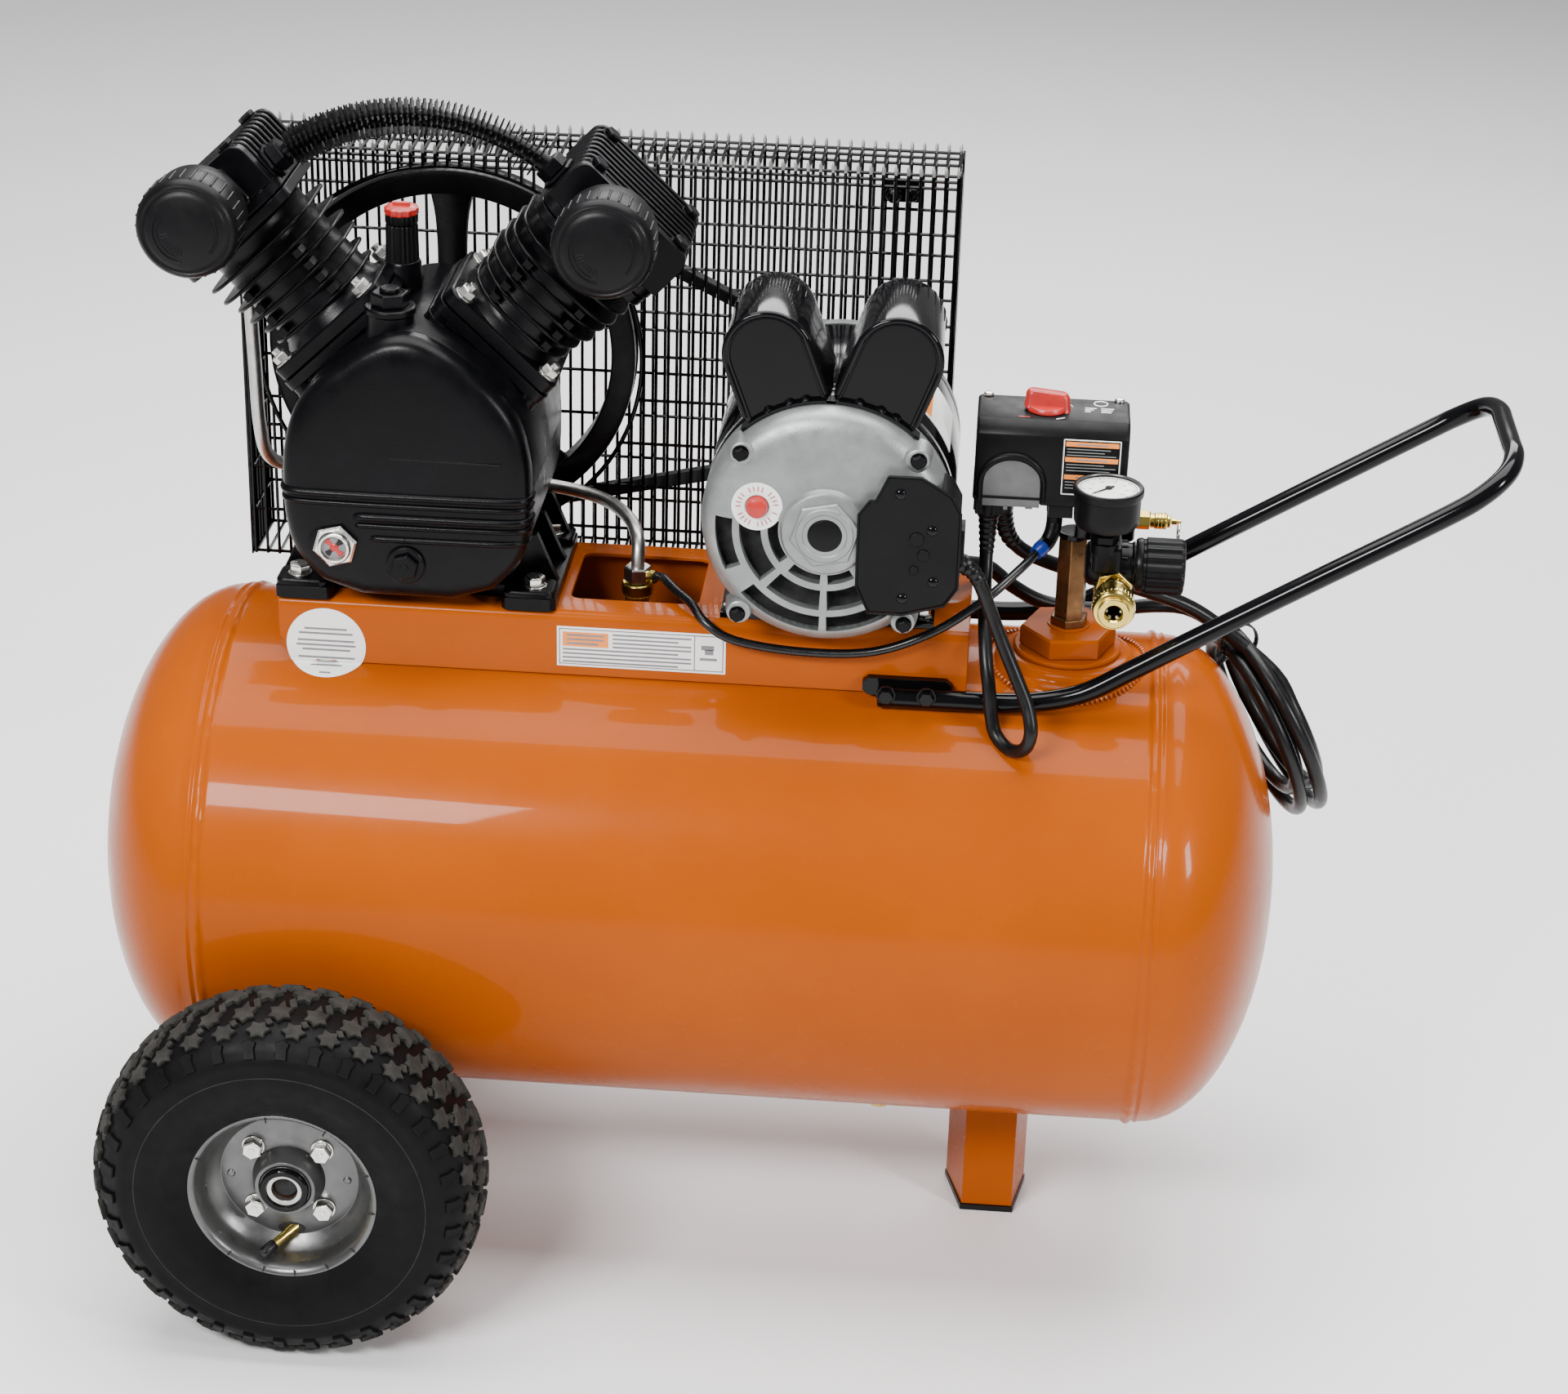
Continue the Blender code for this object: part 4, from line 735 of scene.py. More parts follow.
def build_saddle():
    w, s, top, low, r = 64, 3, 502, 454.2, 6

    def channel(half, high, radius):
        line = [(-half, low)]
        for k in range(6):
            a = math.radians(180 - 18 * k)
            line.append((-half + radius + radius * math.cos(a), high - radius + radius * math.sin(a)))
        return line + [(-a, b) for a, b in reversed(line)]

    outline = channel(w, top, r) + list(reversed(channel(w - s, top - s, r - s)))
    saddle = make("saddle_channel", [prism(outline, -286, 196, "X")], "orange", nodes="saddle")
    corner = [(-291, 449), (-260, 449), (-291, 476)]
    window = rounded(45, 40, 7, 6, (-39, 2))
    carve(saddle, prism(corner, -70, 70, "Y"), prism(window, 480, 520))
    soften(saddle, 0.8)
    # Round white label with plain grey lines where the wording would be.
    parts = [sticker(-281, -225, 5, 61, 0.35, "white", 16, 16, inside=True)]
    for drop, half in ((20, 15), (23.5, 19), (29, 20), (32.5, 21), (36, 17), (42, 20), (45.5, 18),
            (49, 11), (56, 4)):
        parts.append(sticker(-253 - half, -253 + half, drop, drop + 1.5, 0.5, "ink", 6, 1))
    make("oil_label", parts, "white", sharp=80)
    # Oblong label: a frame, an amber block and plain lines.
    x0, x1, d0, d1 = -90, 28, 8.2, 38.5
    parts = [sticker(x0, x1, d0, d1, 0.35, "white", 12, 2)]
    for box in ((x0 + 1.5, x1 - 1.5, d0 + 1.5, d0 + 2.2), (x0 + 1.5, x1 - 1.5, d1 - 2.2, d1 - 1.5),
            (x0 + 1.5, x0 + 2.2, d0 + 1.5, d1 - 1.5), (x1 - 2.2, x1 - 1.5, d0 + 1.5, d1 - 1.5),
            (x1 - 22, x1 - 21.3, d0 + 1.5, d1 - 1.5)):
        parts.append(sticker(*box, 0.5, "ink", 1, 1))
    parts.append(sticker(x0 + 4, x0 + 36, d0 + 4, d0 + 15, 0.5, "amber", 2, 1))
    for k in range(3):
        drop = d0 + 5.6 + 3.2 * k
        parts.append(sticker(x0 + 7, x0 + 33 - 4 * (k == 2), drop, drop + 1.4, 0.62, "ink", 1, 1))
    for k in range(8):
        left = x0 + 39 if k < 4 else x0 + 4
        drop = d0 + 4.2 + 3.1 * k
        parts.append(sticker(left, x1 - 24 - (9 if k in (1, 4, 7) else 0), drop, drop + 1.3, 0.5, "ink",
            1, 1))
    for box in ((x1 - 17, x1 - 8, d0 + 9, d0 + 12.5), (x1 - 14.5, x1 - 8.5, d0 + 12, d0 + 16),
            (x1 - 18, x1 - 6, d0 + 18.5, d0 + 20.5)):
        parts.append(sticker(*box, 0.5, "ink", 1, 1))
    make("side_label", parts, "white", sharp=80)


def build_underside():
    finish("wheel_bracket", "orange", 1.2)
    finish("foot_leg", "orange", 1.2)
    finish("foot_pad", "rubber", 0.8)
    weld = []
    for side in (-1, 1):
        for k in range(26):
            x = 233 + side * 20.5
            y = -21 + 1.7 * k
            z = AXIS_Z - math.sqrt(TANK_R ** 2 - y * y)
            weld.append(moved(rod(2.1, -1.1, 1.1, "Y", steps=8), None, (x + side * 0.21 * (y + 21), y,
                z - 0.8)))
    make("foot_weld", weld, "weld")
    # Outlet: a welded ring, a domed pad and a big hexagonal bushing.
    outlet = (265, -8, 0)
    pad = [(0, 440), (55.5, 440), (56, 457), (54, 461.5), (50.5, 464.5), (47.5, 465.4), (45.5, 468.8),
        (42, 470.2), (36, 471), (0, 471)]
    ring = make("outlet_pad", [turned(pad, 72, "Z", outlet)], "orange", nodes="outlet_bushing")
    carve(ring, rod(TANK_R - 0.4, 100, 420, "X", (0, 0, AXIS_Z), 120))
    beads = []
    for a in spokes(96):
        x, y = outlet[0] + 56 * math.cos(a), outlet[1] + 56 * math.sin(a)
        z = AXIS_Z + math.sqrt(max(0, TANK_R ** 2 - y * y))
        beads.append(moved(turned([(0, -1.3), (1.9, -0.8), (2.3, 0), (1.9, 0.8), (0, 1.3)], 8, "X"),
            turn(math.degrees(a) + 90, "Z"), (x, y, z + 0.5)))
    make("outlet_weld", beads, "weld")
    nut = [rod(38, 470.5, 474.5, "Z", outlet, 64, edge=1.2), hexagon(59, 474, 489.5, "Z", outlet, 1.6,
        math.radians(8)), rod(15, 489, 490.8, "Z", outlet, 32, edge=0.5)]
    make("outlet_nut", nut, "orange", bevel=0.5)
    # Drain cock under the tank.
    drain = (147, 0, 0)
    make("drain_cock", [hexagon(17, 95, 108, "Z", drain), rod(6, 92, 96, "Z", drain),
        rod(9.5, 104, 109, "Z", drain, edge=0.8)], "brass", nodes="drain_body", bevel=0.3)
    rim = ribbed(drain, 10, 9.3, ((78, 0.9), (79.2, 1), (87.2, 1), (88.6, 0.9)), 16)
    make("drain_wheel", [rim, rod(4.6, 88, 91.8, "Z", drain)], "brass", "drain_knob", "drain_knob")


# ------------------------------------------------------------------ wheels

AXLE = (-255, 0, 138.5)
HALF_TRACK = 230  # from the machine's middle to the middle of a wheel
TYRE_MID = 99  # radius halfway up the tyre's section


def wheel_centre(side):
    return (AXLE[0], side * HALF_TRACK, AXLE[2])


def tyre_point(angle, tall, half):
    """Radius and offset of the tyre's outside at an angle from its crown."""
    c, s = math.cos(angle), math.sin(angle)
    return (TYRE_MID + tall * math.copysign(abs(c) ** 0.75, c), half * math.copysign(abs(s) ** 0.75, s))


def tread_patch(outline, height, base, place):
    """A lug: an outline in (round, angle) about a place, raised from the carcass."""
    middle, crown = place
    rings = []
    for lift, k in ((-1, 1), (height - 0.6, 1), (height, 0.9)):
        ring = []
        for u, v in outline:
            radius, offset = tyre_point(crown + k * v / 46, base[0] + lift, base[1] + lift)
            around = middle + k * u / 136
            ring.append((radius * math.cos(around), offset, radius * math.sin(around)))
        rings.append(ring)
    return layers(rings)


def star(points, outer, inner, spin=0):
    return [((outer if k % 2 == 0 else inner) * math.cos(spin + math.pi * k / points),
        (outer if k % 2 == 0 else inner) * math.sin(spin + math.pi * k / points))
        for k in range(2 * points)]


def build_tyre(name, side):
    tall, half = 35.3, 43
    outer = []
    for k in range(41):
        a = math.radians(-122 + 244 * k / 40)
        r, t = tyre_point(a, tall, half)
        if k in (5, 35):
            r, t = r + 0.6, t + math.copysign(0.9, t)
        if k in (8, 32):
            t += math.copysign(1.1, t)
        outer.append((r, t))
    bead = [(64.5, 33.5), (62, 31), (62, 24), (74, 24), (74, -24), (62, -24), (62, -31), (64.5, -33.5)]
    carcass = turned(outer + bead, 120, "Y")
    lugs = []
    around = 34
    for row, crown in enumerate((-33, -11, 11, 33)):
        for k in range(around):
            middle = 2 * math.pi * (k + 0.5 * (row % 2)) / around
            shape = star(6, 9.4, 6, math.radians(30 * (row % 2)))
            lugs.append(tread_patch(shape, 3.2, (tall, half), (middle, math.radians(crown))))
    small = [(-2.4, -3.4), (2.4, -3.4), (2.4, 3.4), (-2.4, 3.4)]
    for row, crown in enumerate((-22, 0, 22)):
        for k in range(around):
            middle = 2 * math.pi * (k + 0.5 * ((row + 1) % 2) + 0.25) / around
            shape = [(u * 0.8 + v * 0.5, v * 0.8 - u * 0.5) for u, v in small]
            lugs.append(tread_patch(shape, 2.2, (tall, half), (middle, math.radians(crown))))
    bar = [(-4.6, -9), (4.6, -9), (4, 1), (5.4, 7), (0, 10.5), (-5.4, 7), (-4, 1)]
    for sign in (-1, 1):
        for k in range(around):
            middle = 2 * math.pi * (k + 0.25) / around
            shape = [(u, -sign * v) for u, v in bar]
            lugs.append(tread_patch(shape, 2.2, (tall, half), (middle, sign * math.radians(57))))
    centre = wheel_centre(side)
    stars = len(lugs) - 2 * around
    parts = [moved(carcass, None, centre)]
    parts += [(moved(mesh, None, centre), "lug") for mesh in lugs[:stars]]
    parts += [moved(mesh, None, centre) for mesh in lugs[stars:]]
    # Mould line round the outer sidewall.
    r, t = tyre_point(math.radians(-88), tall, half)
    line = ring_tube(circle(r, 96, "XZ", (0, side * abs(t), 0)), 0.45, 8)
    parts.append((moved(line, None, centre), "lug"))
    make("tyre_" + name + "_tread", parts, "tyre", "wheel_" + name, "tyre_" + name, sharp=45)


def build_rim(name, side):
    """Offsets run from the outer face of the wheel (negative) to the tank side."""
    face = [(59.5, -25), (61.5, -31.5), (64, -34.2), (66, -34.6), (66.8, -33.2), (65.8, -32.4),
        (63.6, -31.8), (62.2, -27), (61.2, -14), (52, -9.6), (50, -6), (50, 6), (52, 9.6), (61.2, 14),
        (62.2, 27), (63.6, 31.8), (66, 33.4), (66, 34.4), (63, 34), (60.2, 27), (59, 15.6), (50, 12),
        (47.6, 8), (47.4, -4), (43, -6), (30, -6.6), (24, -6.4), (20.5, -9), (19, -13), (17.2, -15.6),
        (17.2, 24), (13.4, 25), (13.4, -14), (13.4, -24), (17.6, -24), (17.6, -18.4), (20.4, -16),
        (22, -12), (25.5, -9.4), (32, -9.2), (44, -8.8), (48.5, -8), (52, -11.4), (57, -16), (59, -20)]
    rim = turned([(r, -side * t) for r, t in face], 96, "Y")
    outward = turn(0, "Z") if side < 0 else turn(180, "Z")
    parts = [rim]
    for k in range(4):
        a = math.radians(45 + 90 * k)
        x, z = 34 * math.cos(a), 34 * math.sin(a)
        parts.append((rod(8.2, -10.6, -9, "Y", (x, 0, z), 28, edge=0.4), "zinc"))
        parts.append((hexagon(13, -17, -10.4, "Y", (x, 0, z), 1, 0.4 * k), "zinc"))
        parts.append((rod(2.6, -17.4, -16.6, "Y", (x, 0, z), 16), "zinc"))
        parts.append((hexagon(13, 5.5, 10.5, "Y", (x, 0, z), 1), "zinc"))
    for x in (-41, 41):
        parts.append((turned([(0, -10.2), (2.2, -10), (3.1, -9), (0, -8)], 20, "Y", (x, 0, 0)), "rim"))
    hub = [(12.4, -27), (12.8, -28.4), (16.2, -28.4), (17.2, -27.4), (17.2, -16), (13, -16), (13, 26),
        (9, 26), (9, -14), (12.4, -14)]
    parts.append((turned(hub, 48, "Y"), "gloss"))
    seal = [(9.2, -25.6), (12.3, -26.4), (12.3, -14.4), (9.2, -14.4)]
    parts.append((turned(seal, 40, "Y"), "steel"))
    collar = [(17.4, -16.2), (17.4, -22.6), (18.6, -23.8), (21, -23.8), (23.4, -19), (25.8, -9.6),
        (24, -9), (20, -12)]
    parts.append((turned(collar, 64, "Y"), "rim"))
    valve = [(0, 0), (4.6, 0), (4.2, 7), (3.4, 11), (3.3, 24), (0, 24)]
    cap = [(0, 22), (3.9, 22), (4.1, 24), (4.1, 31), (3.2, 33), (0, 33)]
    lean = Vector((-0.55, -0.78, -0.2)).to_track_quat("Z", "Y").to_matrix()
    for loop, own in ((valve, "brass"), (cap, "rubber")):
        parts.append((moved(turned(loop, 20), lean, (3, -6, -43)), own))
    # Ten dark strips at the rim's edge are painted shade for notches.
    for degrees in (8, 40, 62, 84, 104, 128, 205, 262, 300, 340):
        notch_shade = block(60.6, 65.4, -34.9, -34, -0.55, 0.55)
        parts.append((moved(notch_shade, turn(degrees, "Y")), "dark"))
    # A dark oval round the valve's root is painted shade for its hole in the disc.
    valve_hole_shade = [(9.5 * math.cos(k * math.pi / 12), -43 + 4.6 * math.sin(k * math.pi / 12)) for k in range(24)]
    parts.append((prism(valve_hole_shade, -9.5, -8.2, "Y"), "dark"))
    centre = wheel_centre(side)
    placed = []
    for part in parts:
        mesh, own = part if isinstance(part[1], str) else (part, "rim")
        if part is rim:
            placed.append((moved(mesh, None, centre), own))
        else:
            placed.append((moved(mesh, outward, centre), own))
    make("rim_" + name + "_disc", placed, "rim", "wheel_" + name, "rim_" + name, bevel=0.35)


def build_wheels():
    for name, side in (("near", -1), ("far", 1)):
        build_tyre(name, side)
        build_rim(name, side)
    # The axle ends are thin dark discs: painted shade inside the hub bores.
    ends = [rod(7.9, *sorted((side * 250.1, side * 250.7)), "Y", AXLE, 28) for side in (-1, 1)]
    make("axle_ends_painted_shade", ends, "dark")


def build_handle():
    y = 77
    knots = [(137, y, 457.5), (185, y, 457.8), (235, y, 459), (275, y, 468.5), (310, y, 489.5),
        (345, y, 512), (430, y, 565.5), (505, y, 612.5), (530, y - 3, 629), (546, y - 14, 641),
        (552.5, y - 34, 646), (553, 20, 646.5)]
    half = smooth_path([(a, -b, c) for a, b, c in knots], 5)
    bar = half + [Vector((p.x, -p.y, p.z)) for p in reversed(half)]
    parts = [swept(bar, 7, 24)]
    for side in (-1, 1):
        tab = [(128, 455.5), (182, 455.5), (186, 459), (186, 465), (182, 468.5), (128, 468.5), (124, 465),
            (124, 459)]
        lo, hi = sorted((side * 64.4, side * 70.5))
        parts.append(prism(tab, lo, hi, "Y"))
        for x in (141, 169):
            spot = (x, 0, 462)
            lo, hi = sorted((side * 83.5, side * 88))
            parts.append(hexagon(10, lo, hi, "Y", spot, 0.8))
            lo, hi = sorted((side * 82, side * 84.2))
            parts.append(rod(7, lo, hi, "Y", spot, 24, edge=0.4))
        cap = [(0, -2), (6.2, -2), (7.2, -1), (7.2, 3), (0, 3)]
        parts.append(turned(cap, 24, "X", (137, side * y, 457.5)))
    make("handle_bar", parts, "gloss", nodes="handle", bevel=0.4)


def finish(node, look, width=0):
    """Give a carried-over CAD node its material and softened edges."""
    obj = frame["nodes"][node]
    obj.data.materials.clear()
    obj.data.materials.append(MATERIALS[look])
    shade(obj.data)
    if width:
        soften(obj, width)


def finish_cad_nodes():
    """The closed-in pieces keep their CAD shape."""
    for node, look in LEFT_AS_CAD.items():
        finish(node, look, 0.4)


LEFT_AS_CAD = {"piston_left": "steel", "piston_right": "steel", "crankshaft": "steel",
    "rotor_shaft": "steel"}


# ------------------------------------------------------------------ pump

CASE_HALF = [(0, 78), (12, 76), (28, 68), (46, 55), (62, 41), (75, 23), (82, 2), (85, -22), (84, -58),
    (77, -83), (60, -103), (32, -112)]
CASE_MID = -15  # height that the cover's outlines shrink towards
COVER = [(1, -72.4), (1, -78), (0.995, -81), (0.982, -84.2), (0.958, -87), (0.92, -89), (0.86, -90.2),
    (0.78, -90.9), (0.5, -91.6), (0.2, -91.9)]


def washer(outline, hole, low, high, edge=0):
    """A flat plate of any outline with a round hole, about the Z axis."""
    dense = []
    for (a, b), (c, d) in zip(outline, outline[1:] + outline[:1]):
        count = max(1, round(math.hypot(c - a, d - b) / 6))
        dense += [(a + (c - a) * i / count, b + (d - b) * i / count) for i in range(count)]
    outline = dense
    stack = [(low, 1), (high, 1)]
    if edge:
        stack = [(low, 1 - edge / 45), (low + edge, 1), (high - edge, 1), (high, 1 - edge / 45)]
    rings = [[(a * k, b * k, z) for a, b in outline] for z, k in stack]
    for z in (high, low):
        inner = []
        for a, b in outline:
            size = math.hypot(a, b)
            inner.append((a / size * hole, b / size * hole, z))
        rings.append(inner)
    return layers(rings, closed=True)


def stack(half_a, half_b, radius, rows):
    """Rounded rectangles one above another; each row is (height, inset)."""
    return layers([[(a, b, z) for a, b in rounded(half_a - inset, half_b - inset, max(1, radius - inset))]
        for z, inset in rows])


def case_outline():
    half = [Vector((x, z, 0)) for x, z in CASE_HALF]
    run = smooth_path(half[:-1], 6) + [half[-1]]
    return [(-p.x, p.y) for p in run[:0:-1]] + [(p.x, p.y) for p in run]


def case_width(height, scale):
    """Half width of the cover at a height, on the outline shrunk by scale."""
    z = (height - PUMP[2] - CASE_MID) / scale + CASE_MID
    rows = sorted((b, a) for a, b in CASE_HALF)
    for (z0, a0), (z1, a1) in zip(rows, rows[1:]):
        if z0 <= z <= z1:
            return scale * (a0 + (a1 - a0) * (z - z0) / (z1 - z0))
    return 0


def cover_rib(height, first, thick):
    """A raised rib that runs across the cover and wraps round its sides."""
    path = [(PUMP[0] + case_width(height, k), y, height) for k, y in COVER]
    left = [(2 * PUMP[0] - x, y, z) for x, y, z in path]
    line = left + [(x, y, z) for x, y, z in reversed(path)]
    if first > line[0][0]:
        line = [p for p in line if p[0] > first]
        line = [(first, line[0][1] + 2.5, height), (first + 3, line[0][1], height)] + line
    return swept(smooth_path(line, 6), thick, 8)


def hex_bolt(spot, across, low, high, axis="Z", start=0.2):
    """A washer-faced bolt head with a small domed end."""
    reach = high - low
    step = math.copysign(1.2, reach)
    ends = sorted((low, low + step))
    head = sorted((low + step, high))
    return [rod(across * 0.66, ends[0], ends[1], axis, spot, 24), hexagon(across, head[0], head[1], axis,
        spot, min(0.9, abs(reach) * 0.25), start)]


def build_crankcase():
    x0, z0 = PUMP[0], PUMP[2]
    outline = [(x0 + a, z0 + b) for a, b in case_outline()]
    parts = [prism(outline, -72, 72, "Y", 2.5)]
    for side in (-1, 1):
        seat = stack(49.5, 46, 8, [(20, 4), (54, 4), (56, 1), (58, 1), (59.5, 4.5), (63, 4.5),
            (64.5, 0.5), (67, 0.5), (68.5, 4), (71, 4), (72, 0), (79.4, 0)])
        parts.append(on_bank(side, seat))
        for v in (-38, 38):
            for u in (-41, 41):
                lug = rod(7.5, 60, 79.3, "Z", (u, v, 0), 20, edge=0.6)
                parts.append(on_bank(side, lug))
    # Bed: a plate with four bolt lugs and webs up to the case.
    bed = [(x0 - 97, -64), (x0 - 93, -66), (x0 - 61, -66), (x0 - 58, -62), (x0 - 58, -44), (x0 + 61, -44),
        (x0 + 61, -62), (x0 + 64, -66), (x0 + 95, -66), (x0 + 99, -62), (x0 + 99, 54), (x0 + 95, 58),
        (x0 - 95, 58), (x0 - 99, 54), (x0 - 99, -62)]
    parts.append(prism(bed[:-1], 502.4, 511.5))
    for x in (x0 - 79, x0 + 80):
        for y in (-52, 44):
            pad = rounded(18, 13, 5, 5, (x, y))
            parts.append(prism(pad, 502.4, 516.3, "Z", 1.4))
            parts += [(m, "zinc") for m in hex_bolt((x + math.copysign(3, x - x0), y, 0), 13, 516, 523.5,
                "Z", 0.3 + 0.01 * x)]
    for side in (-1, 1):
        for y in (-30, 8, 46):
            web = [(x0 + side * 62, 511), (x0 + side * 97, 511), (x0 + side * 93, 519),
                (x0 + side * 82, 546), (x0 + side * 62, 546)]
            parts.append(prism(web, y - 3.5, y + 3.5, "Y"))
    # Breather with a hexagonal cap on a boss at the front of the valley.
    boss = (-203, -55, 0)
    parts += [turned([(0, 686), (20, 686), (17, 696), (16, 702), (16, 712), (17.5, 713), (17.5, 716.5),
        (16.5, 717.5), (0, 717.5)], 40, "Z", boss), hexagon(23, 717, 727, "Z", boss, 1.2, 0.35),
        rod(7, 726.5, 730, "Z", boss, 24, edge=0.8)]
    # Oil filler neck with a ribbed collar.
    neck = (-207, 15, 0)
    parts += [turned([(0, 690), (16, 690), (13.5, 702), (13, 724), (12, 726), (10, 726.5), (10, 752),
        (0, 752)], 32, "Z", neck)]
    collar = ((722, 1.1), (724, 1.04), (750.6, 1), (751.8, 0.95))
    parts.append((ribbed(neck, 11.3, 10.5, collar), "plastic"))
    # Bearing housing at the drive side.
    back = (x0, 0, z0)
    parts += [turned([(0, 60), (50, 60), (50, 74), (48, 76), (36, 76), (34, 79.8), (14, 79.8), (13, 72.4),
        (0, 72.4)], 56, "Y", back)]
    for k in range(6):
        a = math.radians(30 + 60 * k)
        parts += [(m, "zinc") for m in hex_bolt(about(back, 43, a), 10, 75.8, 80.6, "Y")]
    make("crankcase_casting", parts, "cast", nodes="crankcase", bevel=0.9)
    build_cover()
    skirt_ring = ribbed(neck, 11.5, 10.8, ((752.3, 0.95), (753, 1), (758.8, 1)))
    teeth = []
    for z, size in ((758.6, 11.2), (759.4, 11.9), (763, 11.9), (764, 10.6), (764.4, 7.4)):
        ring = []
        for i in range(48):
            a = math.pi * i / 24
            r = size * (1 if i % 4 < 2 else 0.93)
            ring.append((neck[0] + r * math.cos(a), neck[1] + r * math.sin(a), z))
        teeth.append(ring)
    grip = prism([(neck[0] - 6, neck[1] - 1.4), (neck[0] + 6, neck[1] - 1.4),
        (neck[0] + 6, neck[1] + 1.4), (neck[0] - 6, neck[1] + 1.4)], 764, 766.8)
    make("filler_plug", [layers(teeth), grip, (skirt_ring, "plastic")], "red", "filler_cap", "filler_cap",
        bevel=0.3)


def build_cover():
    x0, z0 = PUMP[0], PUMP[2]
    rings = [[(x0 + k * a, y, z0 + CASE_MID + k * (b - CASE_MID)) for a, b in case_outline()]
        for k, y in COVER]
    parts = [layers(rings)]
    for height, first, thick in ((593.4, -400, 2.9), (586.8, -400, 2.2), (577.8, -224, 2.9),
            (571.4, -224, 2.2), (562, -214, 2.4)):
        parts.append(cover_rib(height, first, thick))
    seam = [(x, -91.4, 621 - 0.012 * (x + 199)) for x in range(-199, -123, 5)]
    parts.append(swept(seam, 0.9, 6))
    # Bosses under the sight glass and the drain plug.
    for x, z, r in ((-238, 556, 19.5), (-190, 544, 17)):
        parts.append(turned([(0, -86), (r + 2, -86), (r, -89), (r - 0.6, -90.6), (r - 2, -91), (0, -91)],
            48, "Y", (x, 0, z)))
    for a, b in ((-72, -4), (72, -4), (-74, -64), (74, -64), (-52, 36), (52, 36)):
        k = 0.965
        spot = (x0 + k * a, 0, z0 + CASE_MID + k * (b - CASE_MID))
        parts.append(rod(4.2, -86.6, -82, "Y", spot, 20, edge=0.5))
    make("front_cover_casting", parts, "cast", nodes="front_cover", sharp=50)
    # Sight glass: plated hexagon, domed ring, and a red dot on a dark star.
    middle = (-238, 0, 556)
    ring = [(8.4, -98.2), (9, -99.6), (10.4, -99.6), (11.4, -98.4), (11.8, -96), (11.8, -91.2),
        (8.4, -91.2)]
    parts = [hexagon(27.5, -96.2, -91.2, "Y", middle, 1.8, 0.25), turned(ring, 48, "Y", middle),
        (rod(8.3, -96.6, -92, "Y", middle, 40), "ink"),
        (turned([(0, -97.8), (1.8, -97.6), (3, -96.9), (3.1, -96), (0, -96)], 24, "Y", middle), "red")]
    for k in range(4):
        arm = [(2.6, -1.1), (7, -2.4), (7.6, 0), (7, 2.4), (2.6, 1.1)]
        a = math.radians(45 + 90 * k)
        arm = [(middle[0] + u * math.cos(a) - v * math.sin(a), middle[2] + u * math.sin(a)
            + v * math.cos(a)) for u, v in arm]
        parts.append((prism(arm, -97, -96.4, "Y"), "red" if k % 2 else "dark"))
    make("sight_glass_ring", parts, "zinc", nodes="sight_glass", bevel=0.25)
    middle = (-190, 0, 544)
    parts = [turned([(0, -91.2), (13.5, -91.2), (13.5, -93.4), (12.5, -94.4), (0, -94.4)], 40, "Y",
        middle), hexagon(17, -98.4, -94, "Y", middle, 1.2, 0.3), rod(3, -99, -98, "Y", middle, 16)]
    make("oil_drain_plug", parts, "cast", nodes="oil_plug", bevel=0.3)


def build_bank(name, side):
    """One cylinder with its head and intake filter; +X in bank space is to the right."""
    fins = [washer(rounded(48.5, 46, 9, 6), 34, 80, 90, 1)]
    barrel = [(32.8, 80.4), (44, 80.4), (43, 91), (40, 95), (39, 99), (39, 163), (40, 167), (43, 169),
        (43, 177.6), (32.8, 177.6)]
    fins.append(turned(barrel, 72))
    for k in range(6):
        d = 99.5 + 11 * k
        grow = 1.2 * k ** 0.5 - (3 if k < 2 else 0)
        # The lower fins are cast flush with the barrel at the front.
        near = 40.8 if k < 4 else 44 + grow * 0.5
        far = 44 + grow * 0.5
        fins.append(washer(rounded(45 + grow, (near + far) / 2, 27 if k > 3 else 31, 8,
            (0, (far - near) / 2)), 37, d, d + 2.4, 0.7))
    fins.append(washer(rounded(48, 45.5, 14, 6), 33, 169.4, 177.5, 0.8))
    for d in (105.5, 116.5, 127.5, 138.5):
        for u in (-24, 24):
            nib = prism([(u - 3, -40.5), (u + 3, -40.5), (u + 3, -28), (u - 3, -28)], d - 2.6, d + 2.8)
            fins.append(nib)
    bolts = []
    for u in (-38.5, 38.5):
        for v in (-36.5, 36.5):
            bolts += hex_bolt((u, v, 0), 11, 89.6, 97, "Z", 0.4)
            bolts.append(rod(3, 96, 100.5, "Z", (u, v, 0), 14))
    parts = [on_bank(side, m) for m in fins] + [(on_bank(side, m), "steel") for m in bolts]
    make("cylinder_" + name + "_barrel", parts, "cast", nodes="cylinder_" + name, bevel=0.3, sharp=40)
    build_head(name, side)
    build_filter(name, side)


